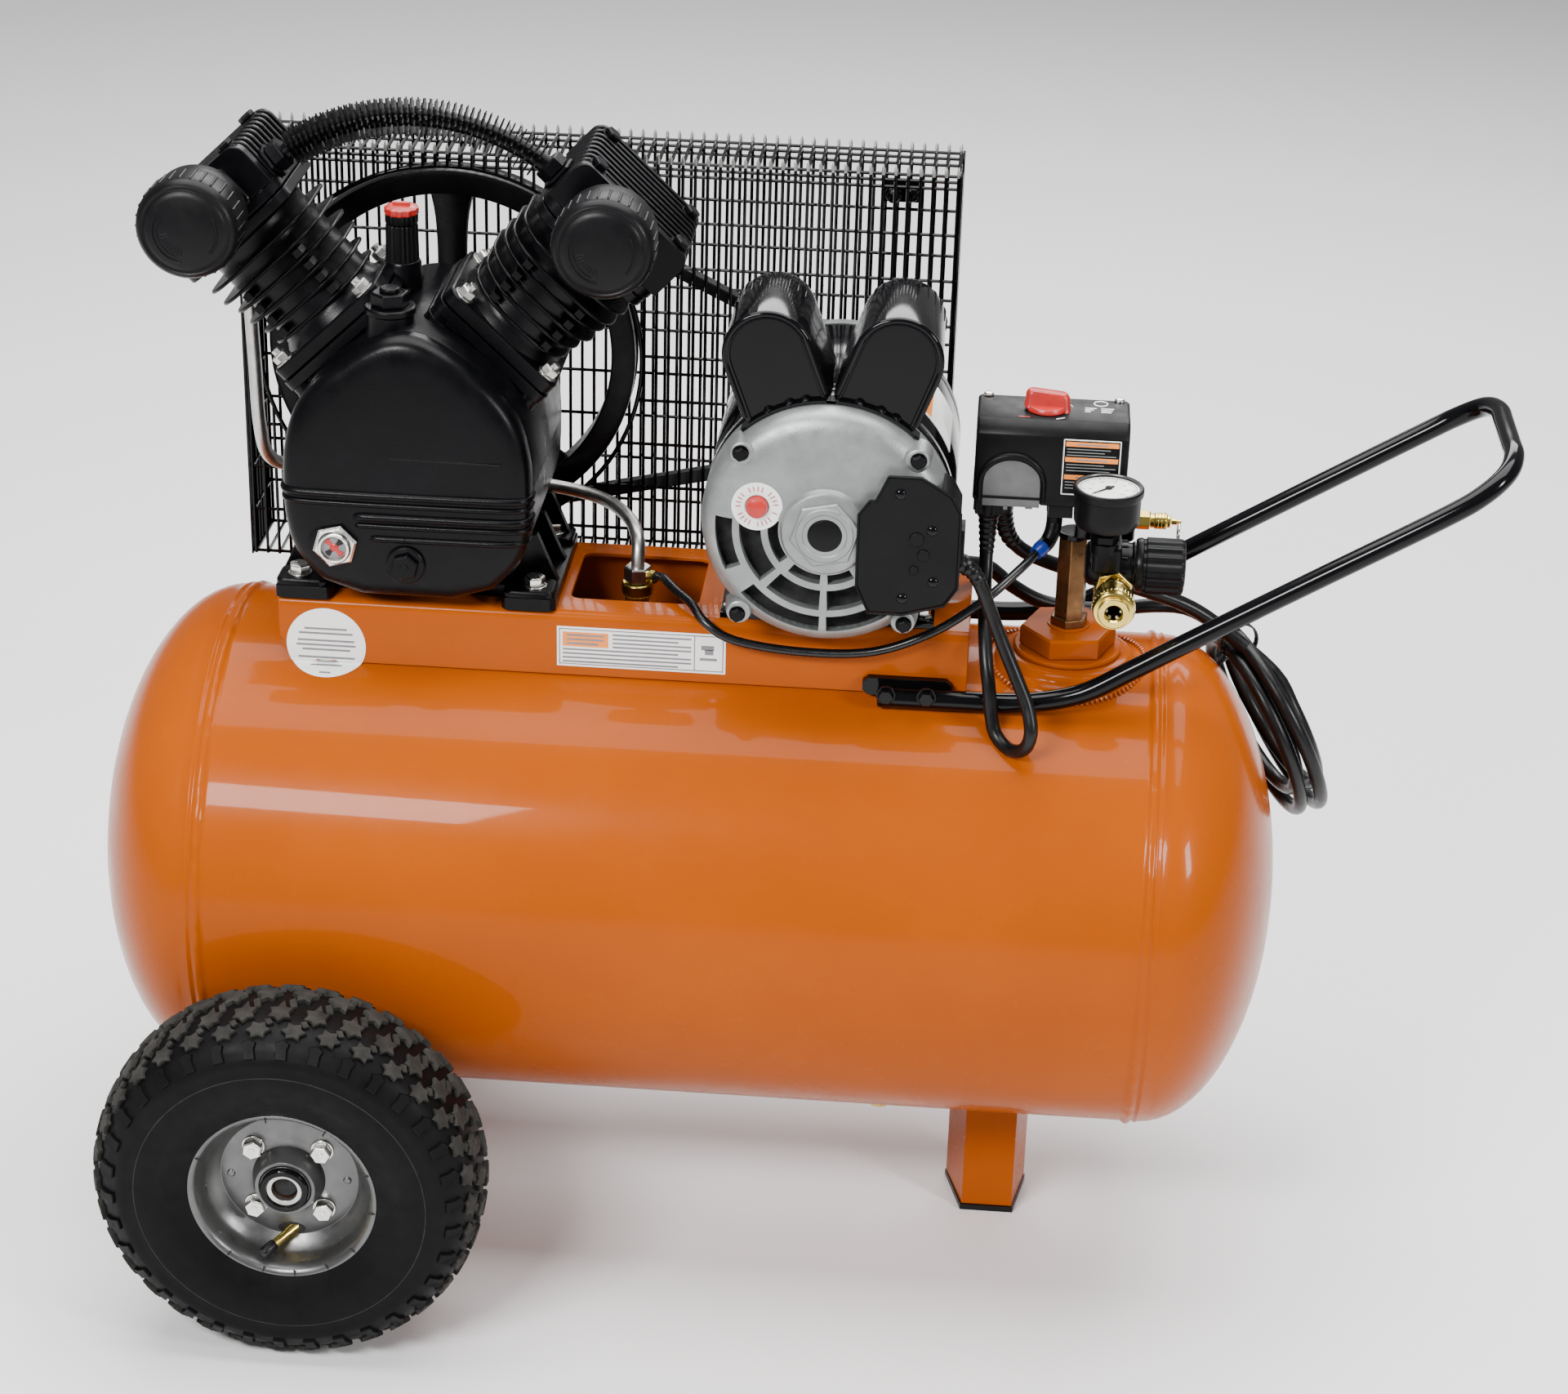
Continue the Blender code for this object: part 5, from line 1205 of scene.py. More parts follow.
def build_head(name, side):
    rows = [(178.2, 0.6), (178.8, 0), (185.4, 0), (186, 0.6), (186.6, 4.6), (188.6, 4.6), (189.2, 5.2),
        (212, 5.2), (214.6, 7)]
    parts = [stack(49, 46, 15, rows)]
    # Cooling ribs run over the head from side to side, behind a smooth front slab.
    rib = [(a, b) for a, b in rounded(49.3, 14.6, 9, 6, (0, 206.4)) if b > 206]
    rib = rib + [(-49.3, 186), (49.3, 186)]
    for y, thick in ((-46.3, 9), (-33.6, 4.2), (-24.2, 4.2), (-14.8, 4.2), (-5.4, 4.2), (4, 4.2),
            (13.4, 4.2), (22.8, 4.2), (32.2, 4.2), (41.6, 4.6)):
        parts.append(prism(rib, y, y + thick, "Y", 0.7))
    pad = stack(27, 15.5, 5, [(-0.6, 1), (0, 0), (6, 0), (7, 1.2)])
    pad = moved(pad, turn(90, "X"), (-4 * side, -43, 200))
    parts.append(pad)
    for u in (-20, -12):
        x = (u - 4) * side
        parts.append(prism([(x - 1.4, 189), (x + 1.4, 189), (x + 1.4, 212), (x - 1.4, 212)], -51.5, -48,
            "Y"))
    bolts = []
    for u in (-37.5, 37.5):
        for v in (-34, 34):
            bolts += hex_bolt((u, v, 0), 11, 219.6, 225, "Z", 0.3)
    parts += bolts
    parts = [on_bank(side, m) for m in parts]
    make("head_" + name + "_cover", parts, "cast", nodes="head_" + name, bevel=0.3, sharp=40)


def build_filter(name, side):
    centre = (-190 + side * 136.1, 0, 780.1)
    shell = [(0, -50.4), (13, -50.4), (13, -58), (20, -60.5), (27, -61.6), (31, -64.6), (32.3, -68),
        (32.5, -79.4), (31.6, -80), (31.6, -81.2), (33.6, -81.8), (34, -84), (34, -103), (33.2, -106.4),
        (31.4, -109), (29.8, -110), (28.8, -109.4), (27.6, -109.4), (26.6, -110.4), (23, -111.6),
        (12, -112.8), (0, -113.2)]
    parts = [turned(shell, 80, "Y", centre)]
    for a in spokes(30):
        parts.append(rod(1, -103.5, -84.5, "Y", about(centre, 33.7, a), 8, edge=0.4))
    for size, first, last in ((21.5, 148, 262), (18.4, 152, 250), (21.5, -40, 30)):
        level = -111.9 - 0.05 * (21.5 - size)
        parts.append(swept(arc((centre[0], level, centre[2]), size, first, last, 20, "XZ"), 0.8, 8))
    for k in range(9):
        a = math.radians(188 + 9 * k)
        line = [(centre[0] + r * math.cos(a), -112.6, centre[2] + r * math.sin(a)) for r in (11, 16)]
        parts.append(swept(line, 0.55, 6))
    parts.append((rod(12.6, -59, -50.2, "Y", centre, 32), "cast"))
    make("filter_" + name + "_canister", parts, "plastic", nodes="filter_" + name, bevel=0.25, sharp=35)


def build_banks():
    for name, side in (("left", -1), ("right", 1)):
        build_bank(name, side)


def arch_point(angle):
    a, size = math.radians(angle), 149
    return Vector((PUMP[0] + size * math.sin(a), -20, 688 + size * math.cos(a)))


def build_pump_tubes():
    # Finned tube that arches from head to head.
    arch = [arch_point(a * 1.1) for a in range(-35, 36)]
    parts = [swept(arch, 6.2, 20)]
    rng = random.Random(7)
    fins = 46
    for k in range(fins):
        angle = -33.5 + 67 * k / (fins - 1) + rng.uniform(-0.1, 0.1)
        a = math.radians(angle)
        tips = 13
        spin = rng.uniform(0, 0.4)
        rings = []
        for t in (-0.5, 0.5):
            ring = []
            for i in range(2 * tips):
                b = spin + math.pi * i / tips
                size = 13.2 if i % 2 == 0 else 10.2
                local = Vector((t, size * math.cos(b), size * math.sin(b)))
                ring.append(Matrix.Rotation(a, 3, "Y") @ local + arch_point(angle))
            rings.append(ring)
        parts.append(layers(rings))
    for side in (-1, 1):
        for low, high, size in ((49.3, 52, 23), (52.5, 61.5, 19)):
            nut = hexagon(size, low, high, "X", (0, -20, 193), 0.9, 0.2)
            nut = ([Vector((-side * p.x, p.y, p.z)) for p in nut[0]], nut[1])
            parts.append(on_bank(side, nut))
    make("cross_tube_finned", parts, "cast", nodes="cross_tube", sharp=30)
    # Discharge tube: out of the left head, down behind the case, into the check valve.
    lean = Matrix.Rotation(-V_ANGLE, 3, "Y")
    start = lean @ Vector((-40, 40, 177)) + Vector(PUMP)
    bend = lean @ Vector((-41, 40, 156)) + Vector(PUMP)
    knots = [start, bend, (-322, 41, 690), (-320, 42, 640), (-319, 44, 590), (-316, 54, 560),
        (-304, 72, 545), (-280, 83, 540), (-235, 86, 538.5), (-150, 86, 536), (-105, 82, 534.5),
        (-72, 62, 535), (-51, 30, 535.5), (-42, 8, 529), (-41, 0, 515), (-41, 0, 500.5)]
    tube = [swept(smooth_path(knots, 4), 4.8, 20)]
    nut = hexagon(17, 163, 176.8, "Z", (-40.2, 40, 0), 0.9)
    tube.append((on_bank(-1, nut), "zinc"))
    tube.append((hexagon(17, 501, 512, "Z", (-41, 0, 0), 0.9, 0.2), "zinc"))
    make("discharge_tube_bent", tube, "steel", nodes="discharge_tube", sharp=40)
    valve = (-41, 0, 0)
    body = [rod(6.6, 459, 465.6, "Z", valve, 28), hexagon(25, 465.4, 478, "Z", valve, 1),
        rod(9.5, 478, 491, "Z", valve, 32, edge=0.6), rod(11.3, 491, 500.2, "Z", valve, 32, edge=0.8)]
    make("check_valve_body", body, "brass", nodes="check_valve", bevel=0.3)
    # Unloader line from the check valve round the motor's near foot and up to the switch.
    knots = [(-29, -3, 505), (-22, -13, 510), (-11, -32, 509.5), (3, -54, 509), (13, -69, 503.5),
        (34, -74, 493), (80, -74, 487), (130, -74, 490), (172, -72, 507), (205, -66, 530),
        (228, -47, 546), (240, -31, 553.5)]
    line = [swept(smooth_path(knots, 4), 3.2, 16)]
    heading = (Vector((240, -31, 553.5)) - Vector((228, -47, 546))).normalized()
    tip = Vector((240, -31, 553.5))
    blue = swept([tip - heading * 3, tip + heading * 1.5, tip + heading * 5.5], 5.4, 24, [4.6, 5.6, 5.6])
    elbow = smooth_path([tip + heading * 5, tip + heading * 11, (249, -19.5, 563.5), (250, -16, 569.5),
        (250, -16, 577.6)], 2)
    line.append((blue, "blue"))
    line.append((swept(elbow, 5.6, 20), "plastic"))
    line.append((swept([(-36, 0, 505.5), (-31, -1.8, 505.2), (-28, -3.6, 505.4)], 4.6, 16), "brass"))
    make("unloader_line", line, "tube", nodes="unloader_tube", sharp=40)


# ------------------------------------------------------------------ belt drive and guard

def belt_path(big, small):
    """The open belt's loop round the flywheel and the motor pulley, as (x, z, outward)."""
    step = 5
    a = Vector((PUMP[0], PUMP[2]))
    b = Vector((MOTOR[0], MOTOR[2]))
    gap = (b - a).length
    lean = math.atan2(b.y - a.y, b.x - a.x)
    reach = math.acos((big - small) / gap)
    loop = []
    for centre, radius, first, last in ((a, big, lean + reach, lean + 2 * math.pi - reach),
            (b, small, lean - reach, lean + reach)):
        count = max(12, round(radius * (last - first) / step))
        for k in range(count + 1):
            angle = first + (last - first) * k / count
            out = Vector((math.cos(angle), math.sin(angle)))
            loop.append((centre + out * radius, out))
    full = []
    for (p, n), (q, _) in zip(loop, loop[1:] + loop[:1]):
        full.append((p, n))
        if (q - p).length > 3 * step:
            count = round((q - p).length / 12)
            full += [(p.lerp(q, k / count), n) for k in range(1, count)]
    return full


def build_drive():
    crank_axis = (PUMP[0], 0, PUMP[2])
    rim = [(116.4, 106.5), (117.5, 105.6), (130.5, 105.5), (133.6, 106.4), (134, 108.6), (134, 111.4),
        (133.4, 112), (124.6, 115.2), (124.2, 116), (124.2, 120), (124.6, 120.8), (133.4, 124),
        (134, 124.6), (134, 127.4), (133.6, 129.6), (130.5, 130.5), (117.5, 130.4), (116.4, 129.5)]
    parts = [turned(rim, 128, "Y", crank_axis)]
    hub = [(12.3, 103), (24, 103), (27, 105), (27, 131), (24.5, 134), (12.3, 134)]
    parts.append(turned(hub, 48, "Y", crank_axis))
    for k in range(5):
        spin = turn(-(90 + 72 * k), "Y")
        rings = []
        for i in range(13):
            t = i / 12
            r = 22 + (118 - 22) * t
            half = 15.5 - 3.5 * math.sin(math.pi * t) + 4 * max(0, t - 0.8) * 5 * 0.6
            pitch = math.radians(34 - 14 * t)
            ring = []
            for u, v in rounded(half, 3.4, 2.2, 3):
                ring.append((r, 118 + u * math.sin(pitch) + v * math.cos(pitch), u * math.cos(pitch)
                    - v * math.sin(pitch)))
            rings.append(ring)
        parts.append(moved(layers(rings), spin, crank_axis))
    parts.append((moved(prism([(-3, 10), (3, 10), (3, 15), (-3, 15)], 133.4, 135.5, "Y"), None,
        crank_axis), "steel"))
    parts.append((moved(hexagon(9, 27, 31, "Z", (0, 128, 0)), None, crank_axis), "steel"))
    make("flywheel_casting", parts, "cast", "crank_train", "flywheel", bevel=0.5)
    loop = belt_path(129.5, 33.5)
    rings = []
    for p, n in loop:
        rings.append([(p.x + n.x * u, DRIVE_Y + v, p.y + n.y * u) for u, v in ((-4.5, -3.8), (3.4, -5.8),
            (4.5, -5.4), (4.5, 5.4), (3.4, 5.8), (-4.5, 3.8))])
    make("vee_belt", [layers(rings, closed=True)], "belt", nodes="drive_belt", sharp=30)
    motor_axis = (MOTOR[0], 0, MOTOR[2])
    pulley = [(8.3, 107), (18, 107), (18, 110.2), (36, 110.2), (37.8, 110.8), (38, 112.2), (28.8, 115.3),
        (28.4, 116.2), (28.4, 119.8), (28.8, 120.7), (38, 123.8), (37.8, 125.2), (36, 125.8), (19, 125.8),
        (18, 129), (8.3, 129)]
    parts = [turned(pulley, 64, "Y", motor_axis),
        (moved(hexagon(6, 17.5, 20, "Z", (0, 127.4, 0)), None, motor_axis), "steel"),
        (moved(rod(9.5, 129, 130, "Y", (0, 0, 0), 24), None, motor_axis), "steel")]
    make("motor_pulley_sheave", parts, "cast", "rotor", "motor_pulley", bevel=0.3)


GUARD_X = (-340, 172)
GUARD_Z = (462, 778)
GUARD_UPRIGHTS = (98.3, 158.3)  # Y of the upright wires, near and far face
GUARD_RAILS = (100.2, 156.6)  # Y of the level wires behind and before them
WIRE = 1.3


def wire(a, b, radius=WIRE):
    return swept([a, b], radius, 6)


def clear_runs(low, high, level, holes, least=0):
    """The stretches of a straight wire that lie outside the round cut-outs.

    Each hole is (middle along the wire, middle across it, radius); level is the wire's place
    across. Stretches shorter than `least` are dropped.
    """
    runs = [(low, high)]
    for along, across, radius in holes:
        if abs(level - across) >= radius:
            continue
        half = math.sqrt(radius * radius - (level - across) ** 2)
        cut = []
        for a, b in runs:
            if along - half > a:
                cut.append((a, min(b, along - half)))
            if along + half < b:
                cut.append((max(a, along + half), b))
        runs = [run for run in cut if run[1] - run[0] > least]
    return runs


def build_guard():
    x0, x1 = GUARD_X
    z0, z1 = GUARD_Z
    near, far = GUARD_UPRIGHTS
    near_rail, far_rail = GUARD_RAILS
    holes = [(PUMP[0], PUMP[2], 140), (MOTOR[0], MOTOR[2], 45)]
    upright_holes = [(cz, cx, r) for cx, cz, r in holes]
    count = 58
    pitch = (x1 - x0 - 3) / count
    uprights = [x0 + 1.5 + pitch * k for k in range(count + 1)]
    levels = [z0 + 1.6 + k * (z1 - z0 - 12) / 9 for k in range(10)]
    front, rear = [], []
    for x in uprights:
        for low, high in clear_runs(z0 + 1, z1 - 1, x, upright_holes, 3):
            front.append(wire((x, near, low), (x, near, high)))
        rear.append(wire((x, far, z0 + 1), (x, far, z1 - 1)))
        # The ends of the uprights stand up past the top rails, cut to a point.
        for y, group in ((near, front), (far, rear)):
            tip = swept([(x, y, z1 - 1.5), (x, y, z1 + 2.5), (x, y, z1 + 6)], WIRE, 6,
                [WIRE, WIRE * 1.05, 0.3])
            group.append((tip, "steel"))
        rear.append(wire((x, near, z1 - 1.6), (x, far, z1 - 1.6)))
        rear.append(wire((x, near, z0 + 1.2), (x, far, z0 + 1.2)))
    for z in levels + [z1 - 5.5, z1 - 1.2]:
        for a, b in clear_runs(x0, x1, z, holes):
            front.append(wire((a, near_rail, z), (b, near_rail, z)))
        rear.append(wire((x0, far_rail, z), (x1, far_rail, z)))
    for cx, cz, r in holes:
        front.append(ring_tube(circle(r - 0.5, 96, "XZ", (cx, 99.2, cz)), 1.7, 8))
    for x in (x0 + 1, x1 - 1):
        for k in range(1, 7):
            y = near + (far - near) * k / 7
            rear.append(wire((x, y, z0 + 1), (x, y, z1 - 1)))
        for z in levels + [z1 - 1.6]:
            rear.append(wire((x, near, z), (x, far, z)))
        side = -1 if x < 0 else 1
        strip = sorted((x + side * 1.2, x + side * 2.6))
        rear.append(block(strip[0], strip[1], 140, 160.6, z0, z1))
        front.append(block(strip[0], strip[1], 96.6, 108, z0, z1))
    for x in (-250, -5, 105):
        leg = [(64.4, 462.6), (98.5, 462.6), (98.5, 465.4), (67.2, 465.4), (67.2, 491.5), (64.4, 491.5)]
        front.append(prism(leg, x - 12, x + 12, "X"))
        front += [(m, "zinc") for m in hex_bolt((x, 0, 481), 10, 67.2, 73, "Y")]
        clip = [(x - 7, 470), (x + 7, 470), (x + 7, 462.6), (x - 7, 462.6)]
        front.append(prism(clip, 101.2, 102.6, "Y"))
    clamp = [block(117, 142, 150, 155.6, 741, 757), rod(6, 140, 150.5, "Y", (124, 0, 749), 24, edge=0.8),
        rod(4.5, 134, 140.5, "Y", (124, 0, 749), 20, edge=0.8), rod(5, 143, 150.5, "Y", (137, 0, 748), 20,
        edge=0.8)]
    rear += clamp
    make("guard_front_grid", front, "gloss", nodes="guard_front", sharp=50)
    make("guard_rear_grid", rear, "gloss", nodes="guard_rear", sharp=50)


# ------------------------------------------------------------------ motor

def polar(radius, degrees):
    """A point of the motor's end face, seen from the front."""
    a = math.radians(degrees)
    return (MOTOR[0] + radius * math.cos(a), MOTOR[2] + radius * math.sin(a))


def sector(inner, outer, first, last, low, high, count=0):
    """A ring segment about the motor's axis, between two angles and two depths."""
    count = count or max(3, round(abs(last - first) / 4))
    line = [polar(outer, first + (last - first) * k / count) for k in range(count + 1)]
    line += [polar(inner, last + (first - last) * k / count) for k in range(count + 1)]
    return prism(line, low, high, "Y")


def build_motor():
    axis = (MOTOR[0], 0, MOTOR[2])
    shell = [(80.5, -77.9), (83, -77.9), (84.5, -76), (84.5, -62), (84, -61), (84, -58), (84.5, -57),
        (84.5, 56), (84, 58.5), (83, 59.9), (80.5, 59.9)]
    parts = [turned(shell, 128, "Y", axis)]
    cradle = [(23, 502.4), (171, 502.4), (171, 506.2), (155, 509), (152, 532), (42, 532), (39, 509),
        (23, 506.2)]
    foot = make("motor_cradle", [prism(cradle, -56, -50, "Y"), prism(cradle, 44, 50, "Y"),
        block(23, 171, -58, 54, 502.4, 506.2)], "gloss", bevel=0.5)
    carve(foot, rod(83.5, -80, 80, "Y", axis, 96))
    seam = [wire((MOTOR[0] - 84.6, -60, 590), (MOTOR[0] - 84.6, 54, 590), 0.9)]
    parts += seam
    parts.append((sector(84.2, 84.9, 22, 56, -40, 30, 12), "white"))
    parts.append((sector(84.6, 85.1, 40, 54, -36, 26, 6), "amber"))
    for x in (31, 163):
        for y in (-46, 40):
            parts += [(m, "zinc") for m in hex_bolt((x, y, 0), 10, 506, 513)]
    make("motor_barrel", parts, "gloss", nodes="motor_shell", sharp=40)
    build_bell(axis)
    back = [(16.3, 78), (16.3, 88), (19, 90), (26, 90), (28, 88), (30, 84), (64, 84), (74, 81.5),
        (81, 76), (84.4, 69), (84.4, 60.4), (78, 60.4), (78, 78)]
    rear = make("bell_rear_casting", [turned(back, 96, "Y", axis)], "bell", nodes="bell_rear")
    slots = []
    for k in range(8):
        first = 45 * k + 6
        slots.append(sector(36, 62, first, first + 32, 70, 95))
    carve(rear, *slots)
    soften(rear, 0.5)
    build_terminal_cover()
    for name, lean in (("left", 20.5), ("right", -20.5)):
        build_capacitor(name, lean)


def build_bell(axis):
    face = [(0, -118.6), (27, -119), (28.6, -118.2), (29.6, -116), (30.6, -114.6), (33, -114.2),
        (64, -113.8), (70.5, -113), (76, -111), (80.5, -107.5), (83.4, -102.5), (84.6, -96), (84.6, -83),
        (84.2, -82), (84.2, -80.4), (84.6, -79.6), (84.6, -78.4), (78, -78.4), (78, -98), (74, -104),
        (66, -106.5), (24, -107), (24, -104), (0, -104)]
    bell = make("bell_front_casting", [turned(face, 128, "Y", axis)], "bell", nodes="bell_front")
    slots = []
    for inner, outer, spans in ((31.5, 38.6, ((169.5, 219), (231, 266), (274, 302))),
            (43.2, 57.8, ((172.5, 222), (228, 267.3), (272.7, 306))),
            (62.4, 74, ((174.8, 206), (221, 268), (272, 306)))):
        for first, last in spans:
            slots.append(sector(inner, outer, first, last, -125, -100))
    carve(bell, *slots)
    soften(bell, 0.7)
    extra = []
    for x, z in ((40, 647), (156, 648), (40, 532), (151, 531)):
        out = Vector((x - axis[0], 0, z - axis[2])).normalized()
        extra.append(turned([(0, -96), (10, -96), (9, -108), (8, -112.5), (7, -113.2), (0, -113.2)], 28,
            "Y", (x, 0, z)))
        extra += [(m, "cast") for m in hex_bolt((x + out.x, 0, z + out.z), 8.5, -113, -118.6, "Y", 0.4)]
    # Hexagonal collar and black cap in the bearing boss.
    extra.append(hexagon(42, -121.4, -118.4, "Y", axis, 1, math.radians(12)))
    extra.append(turned([(14.4, -118), (19.6, -118), (19.6, -121.4), (18.6, -122.4), (15.4, -122.4),
        (14.4, -121.4)], 48, "Y", axis))
    extra.append((turned([(0, -122.6), (9, -122.2), (13, -121), (14.3, -119.6), (14.3, -117), (0, -117)],
        48, "Y", axis), "plastic"))
    make("bell_front_bolts", extra, "bell", bevel=0.3)
    # Seen through the vents: a dark disc, painted shade for the motor's inside, with copper windings
    # behind it.
    inside = [(rod(76.5, -99.6, -98.8, "Y", axis, 64), "dark")]
    winding = [(44, -98.8), (60, -98.8), (66, -94), (60, -90), (44, -90)]
    inside.append((turned(winding, 48, "Y", axis), "copper"))
    make("motor_shade_disc_and_windings", inside, "dark")
    reset = (51, 0, 610.5)
    ring = turned([(8.3, -113.5), (17, -113.5), (17, -114.3), (8.3, -114.3)], 64, "Y", reset)
    marks = []
    for k in range(26):
        a = math.radians(8 + 13.3 * k)
        if k % 5 == 4:
            continue
        p = [(reset[0] + r * math.cos(a), -114.45, reset[2] + r * math.sin(a)) for r in (10.8, 14.4)]
        marks.append((swept(p, 0.35, 4), "red"))
    make("reset_ring", [ring] + marks, "white")
    cap = [(0, -120.2), (4.5, -120), (6.6, -119), (7.2, -117.6), (7.3, -114.6), (7.6, -114.2),
        (7.6, -104), (0, -104)]
    make("reset_cap", [turned(cap, 40, "Y", reset)], "red", "reset_button", "reset_button", bevel=0.2)


def build_terminal_cover():
    outline = [(119, 560), (119, 612), (126, 622), (130, 622), (138, 640), (160, 640), (180, 628),
        (186.5, 616), (186.5, 562), (178, 549), (150, 541), (128, 541)]
    cover = make("terminal_cover_lid", [prism(outline, -122, -86.5, "Y", 1.6)], "plastic",
        nodes="terminal_cover")
    carve(cover, rod(85.4, -119.2, -60, "Y", (MOTOR[0], 0, MOTOR[2]), 96))
    soften(cover, 0.9)
    parts = []
    for x, z in ((168, 603), (170, 566), (150, 553), (146, 628)):
        parts.append((turned([(0, -124), (2.6, -123.6), (3.6, -122.6), (3.6, -121.6), (0, -121.6)], 20,
            "Y", (x, 0, z)), "gloss"))
    for x, z, r in ((158, 596, 5), (163, 585, 4.2), (157, 574, 3.2)):
        parts.append(rod(r, -123.4, -121.6, "Y", (x, 0, z), 20, edge=0.6))
    rim = [(x, -122.2, z) for x, z in outline]
    parts.append(ring_tube(rim, 0.9, 6))
    parts.append(block(186.2, 189.6, -112, -92, 575, 600))
    make("terminal_cover_screws", parts, "plastic", bevel=0.3)


def capacitor_outline(k=1, foot=60):
    """The arch in the cover's own frame: up is away from the motor's axis."""
    half, centre = 29, 123
    line = [(half * k, foot)]
    for i in range(17):
        a = math.pi * i / 16
        line.append((half * k * math.cos(a), centre + half * k * math.sin(a)))
    line.append((-half * k, foot))
    return line


def build_capacitor(name, lean):
    axis = (MOTOR[0], 0, MOTOR[2])
    tilt = turn(-lean, "Y")

    def place(mesh):
        return moved(mesh, tilt, axis)

    rings = []
    for k, y in ((0.84, -94.4), (0.86, -95.6), (0.93, -95.6), (0.96, -95), (0.985, -93.2), (1, -90),
            (1, -60), (1, -26), (0.99, -18), (0.965, -11), (0.925, -4.5), (0.87, 0.5), (0.8, 4),
            (0.7, 6)):
        rings.append([(u, y, v) for u, v in capacitor_outline(k)])
    body = make("capacitor_" + name + "_cover", [place(layers(rings))], "gloss", nodes="capacitor_"
        + name, sharp=32)
    carve(body, rod(85.2, -140, 80, "Y", axis, 128))
    lip = [(u, -94.2, v) for u, v in capacitor_outline(0.965, 86)]
    parts = [place(swept(smooth_path(lip, 3), 2.3, 12))]
    # Curved foot flange with two screws.
    reach = 22.5
    flange = []
    for y in (-99, -88):
        ring = []
        for k in range(15):
            a = math.radians(-reach + 2 * reach * k / 14)
            ring.append((86.9 * math.sin(a), y, 86.9 * math.cos(a)))
        for k in range(14, -1, -1):
            a = math.radians(-reach + 2 * reach * k / 14)
            ring.append((85.2 * math.sin(a), y, 85.2 * math.cos(a)))
        flange.append(ring)
    parts.append(place(layers(flange)))
    for u in (-12, 3, 14):
        a = u / 86
        spin = Matrix.Rotation(a, 3, "Y")
        screw = turned([(0, 89.4), (1.8, 89.2), (3.4, 88), (3.4, 86.4), (0, 86.4)], 18)
        parts.append(place(moved(moved(screw, None, (0, -96, 0)), spin)))
    # Creased flutes where the pressed cover turns over its back.
    for k in range(11):
        a = math.radians(25 + 13 * k)
        u, v = math.cos(a), math.sin(a)
        line = []
        for s, y in ((1, -36), (1, -26), (0.99, -18), (0.965, -11), (0.925, -4.5)):
            line.append((29 * s * u, y, 123 + 29 * s * v))
        parts.append(place(swept(line, 0.7, 6, [0.25, 0.6, 0.9, 0.9, 0.4])))
    make("capacitor_" + name + "_trim", parts, "gloss")


# ------------------------------------------------------------------ pressure switch

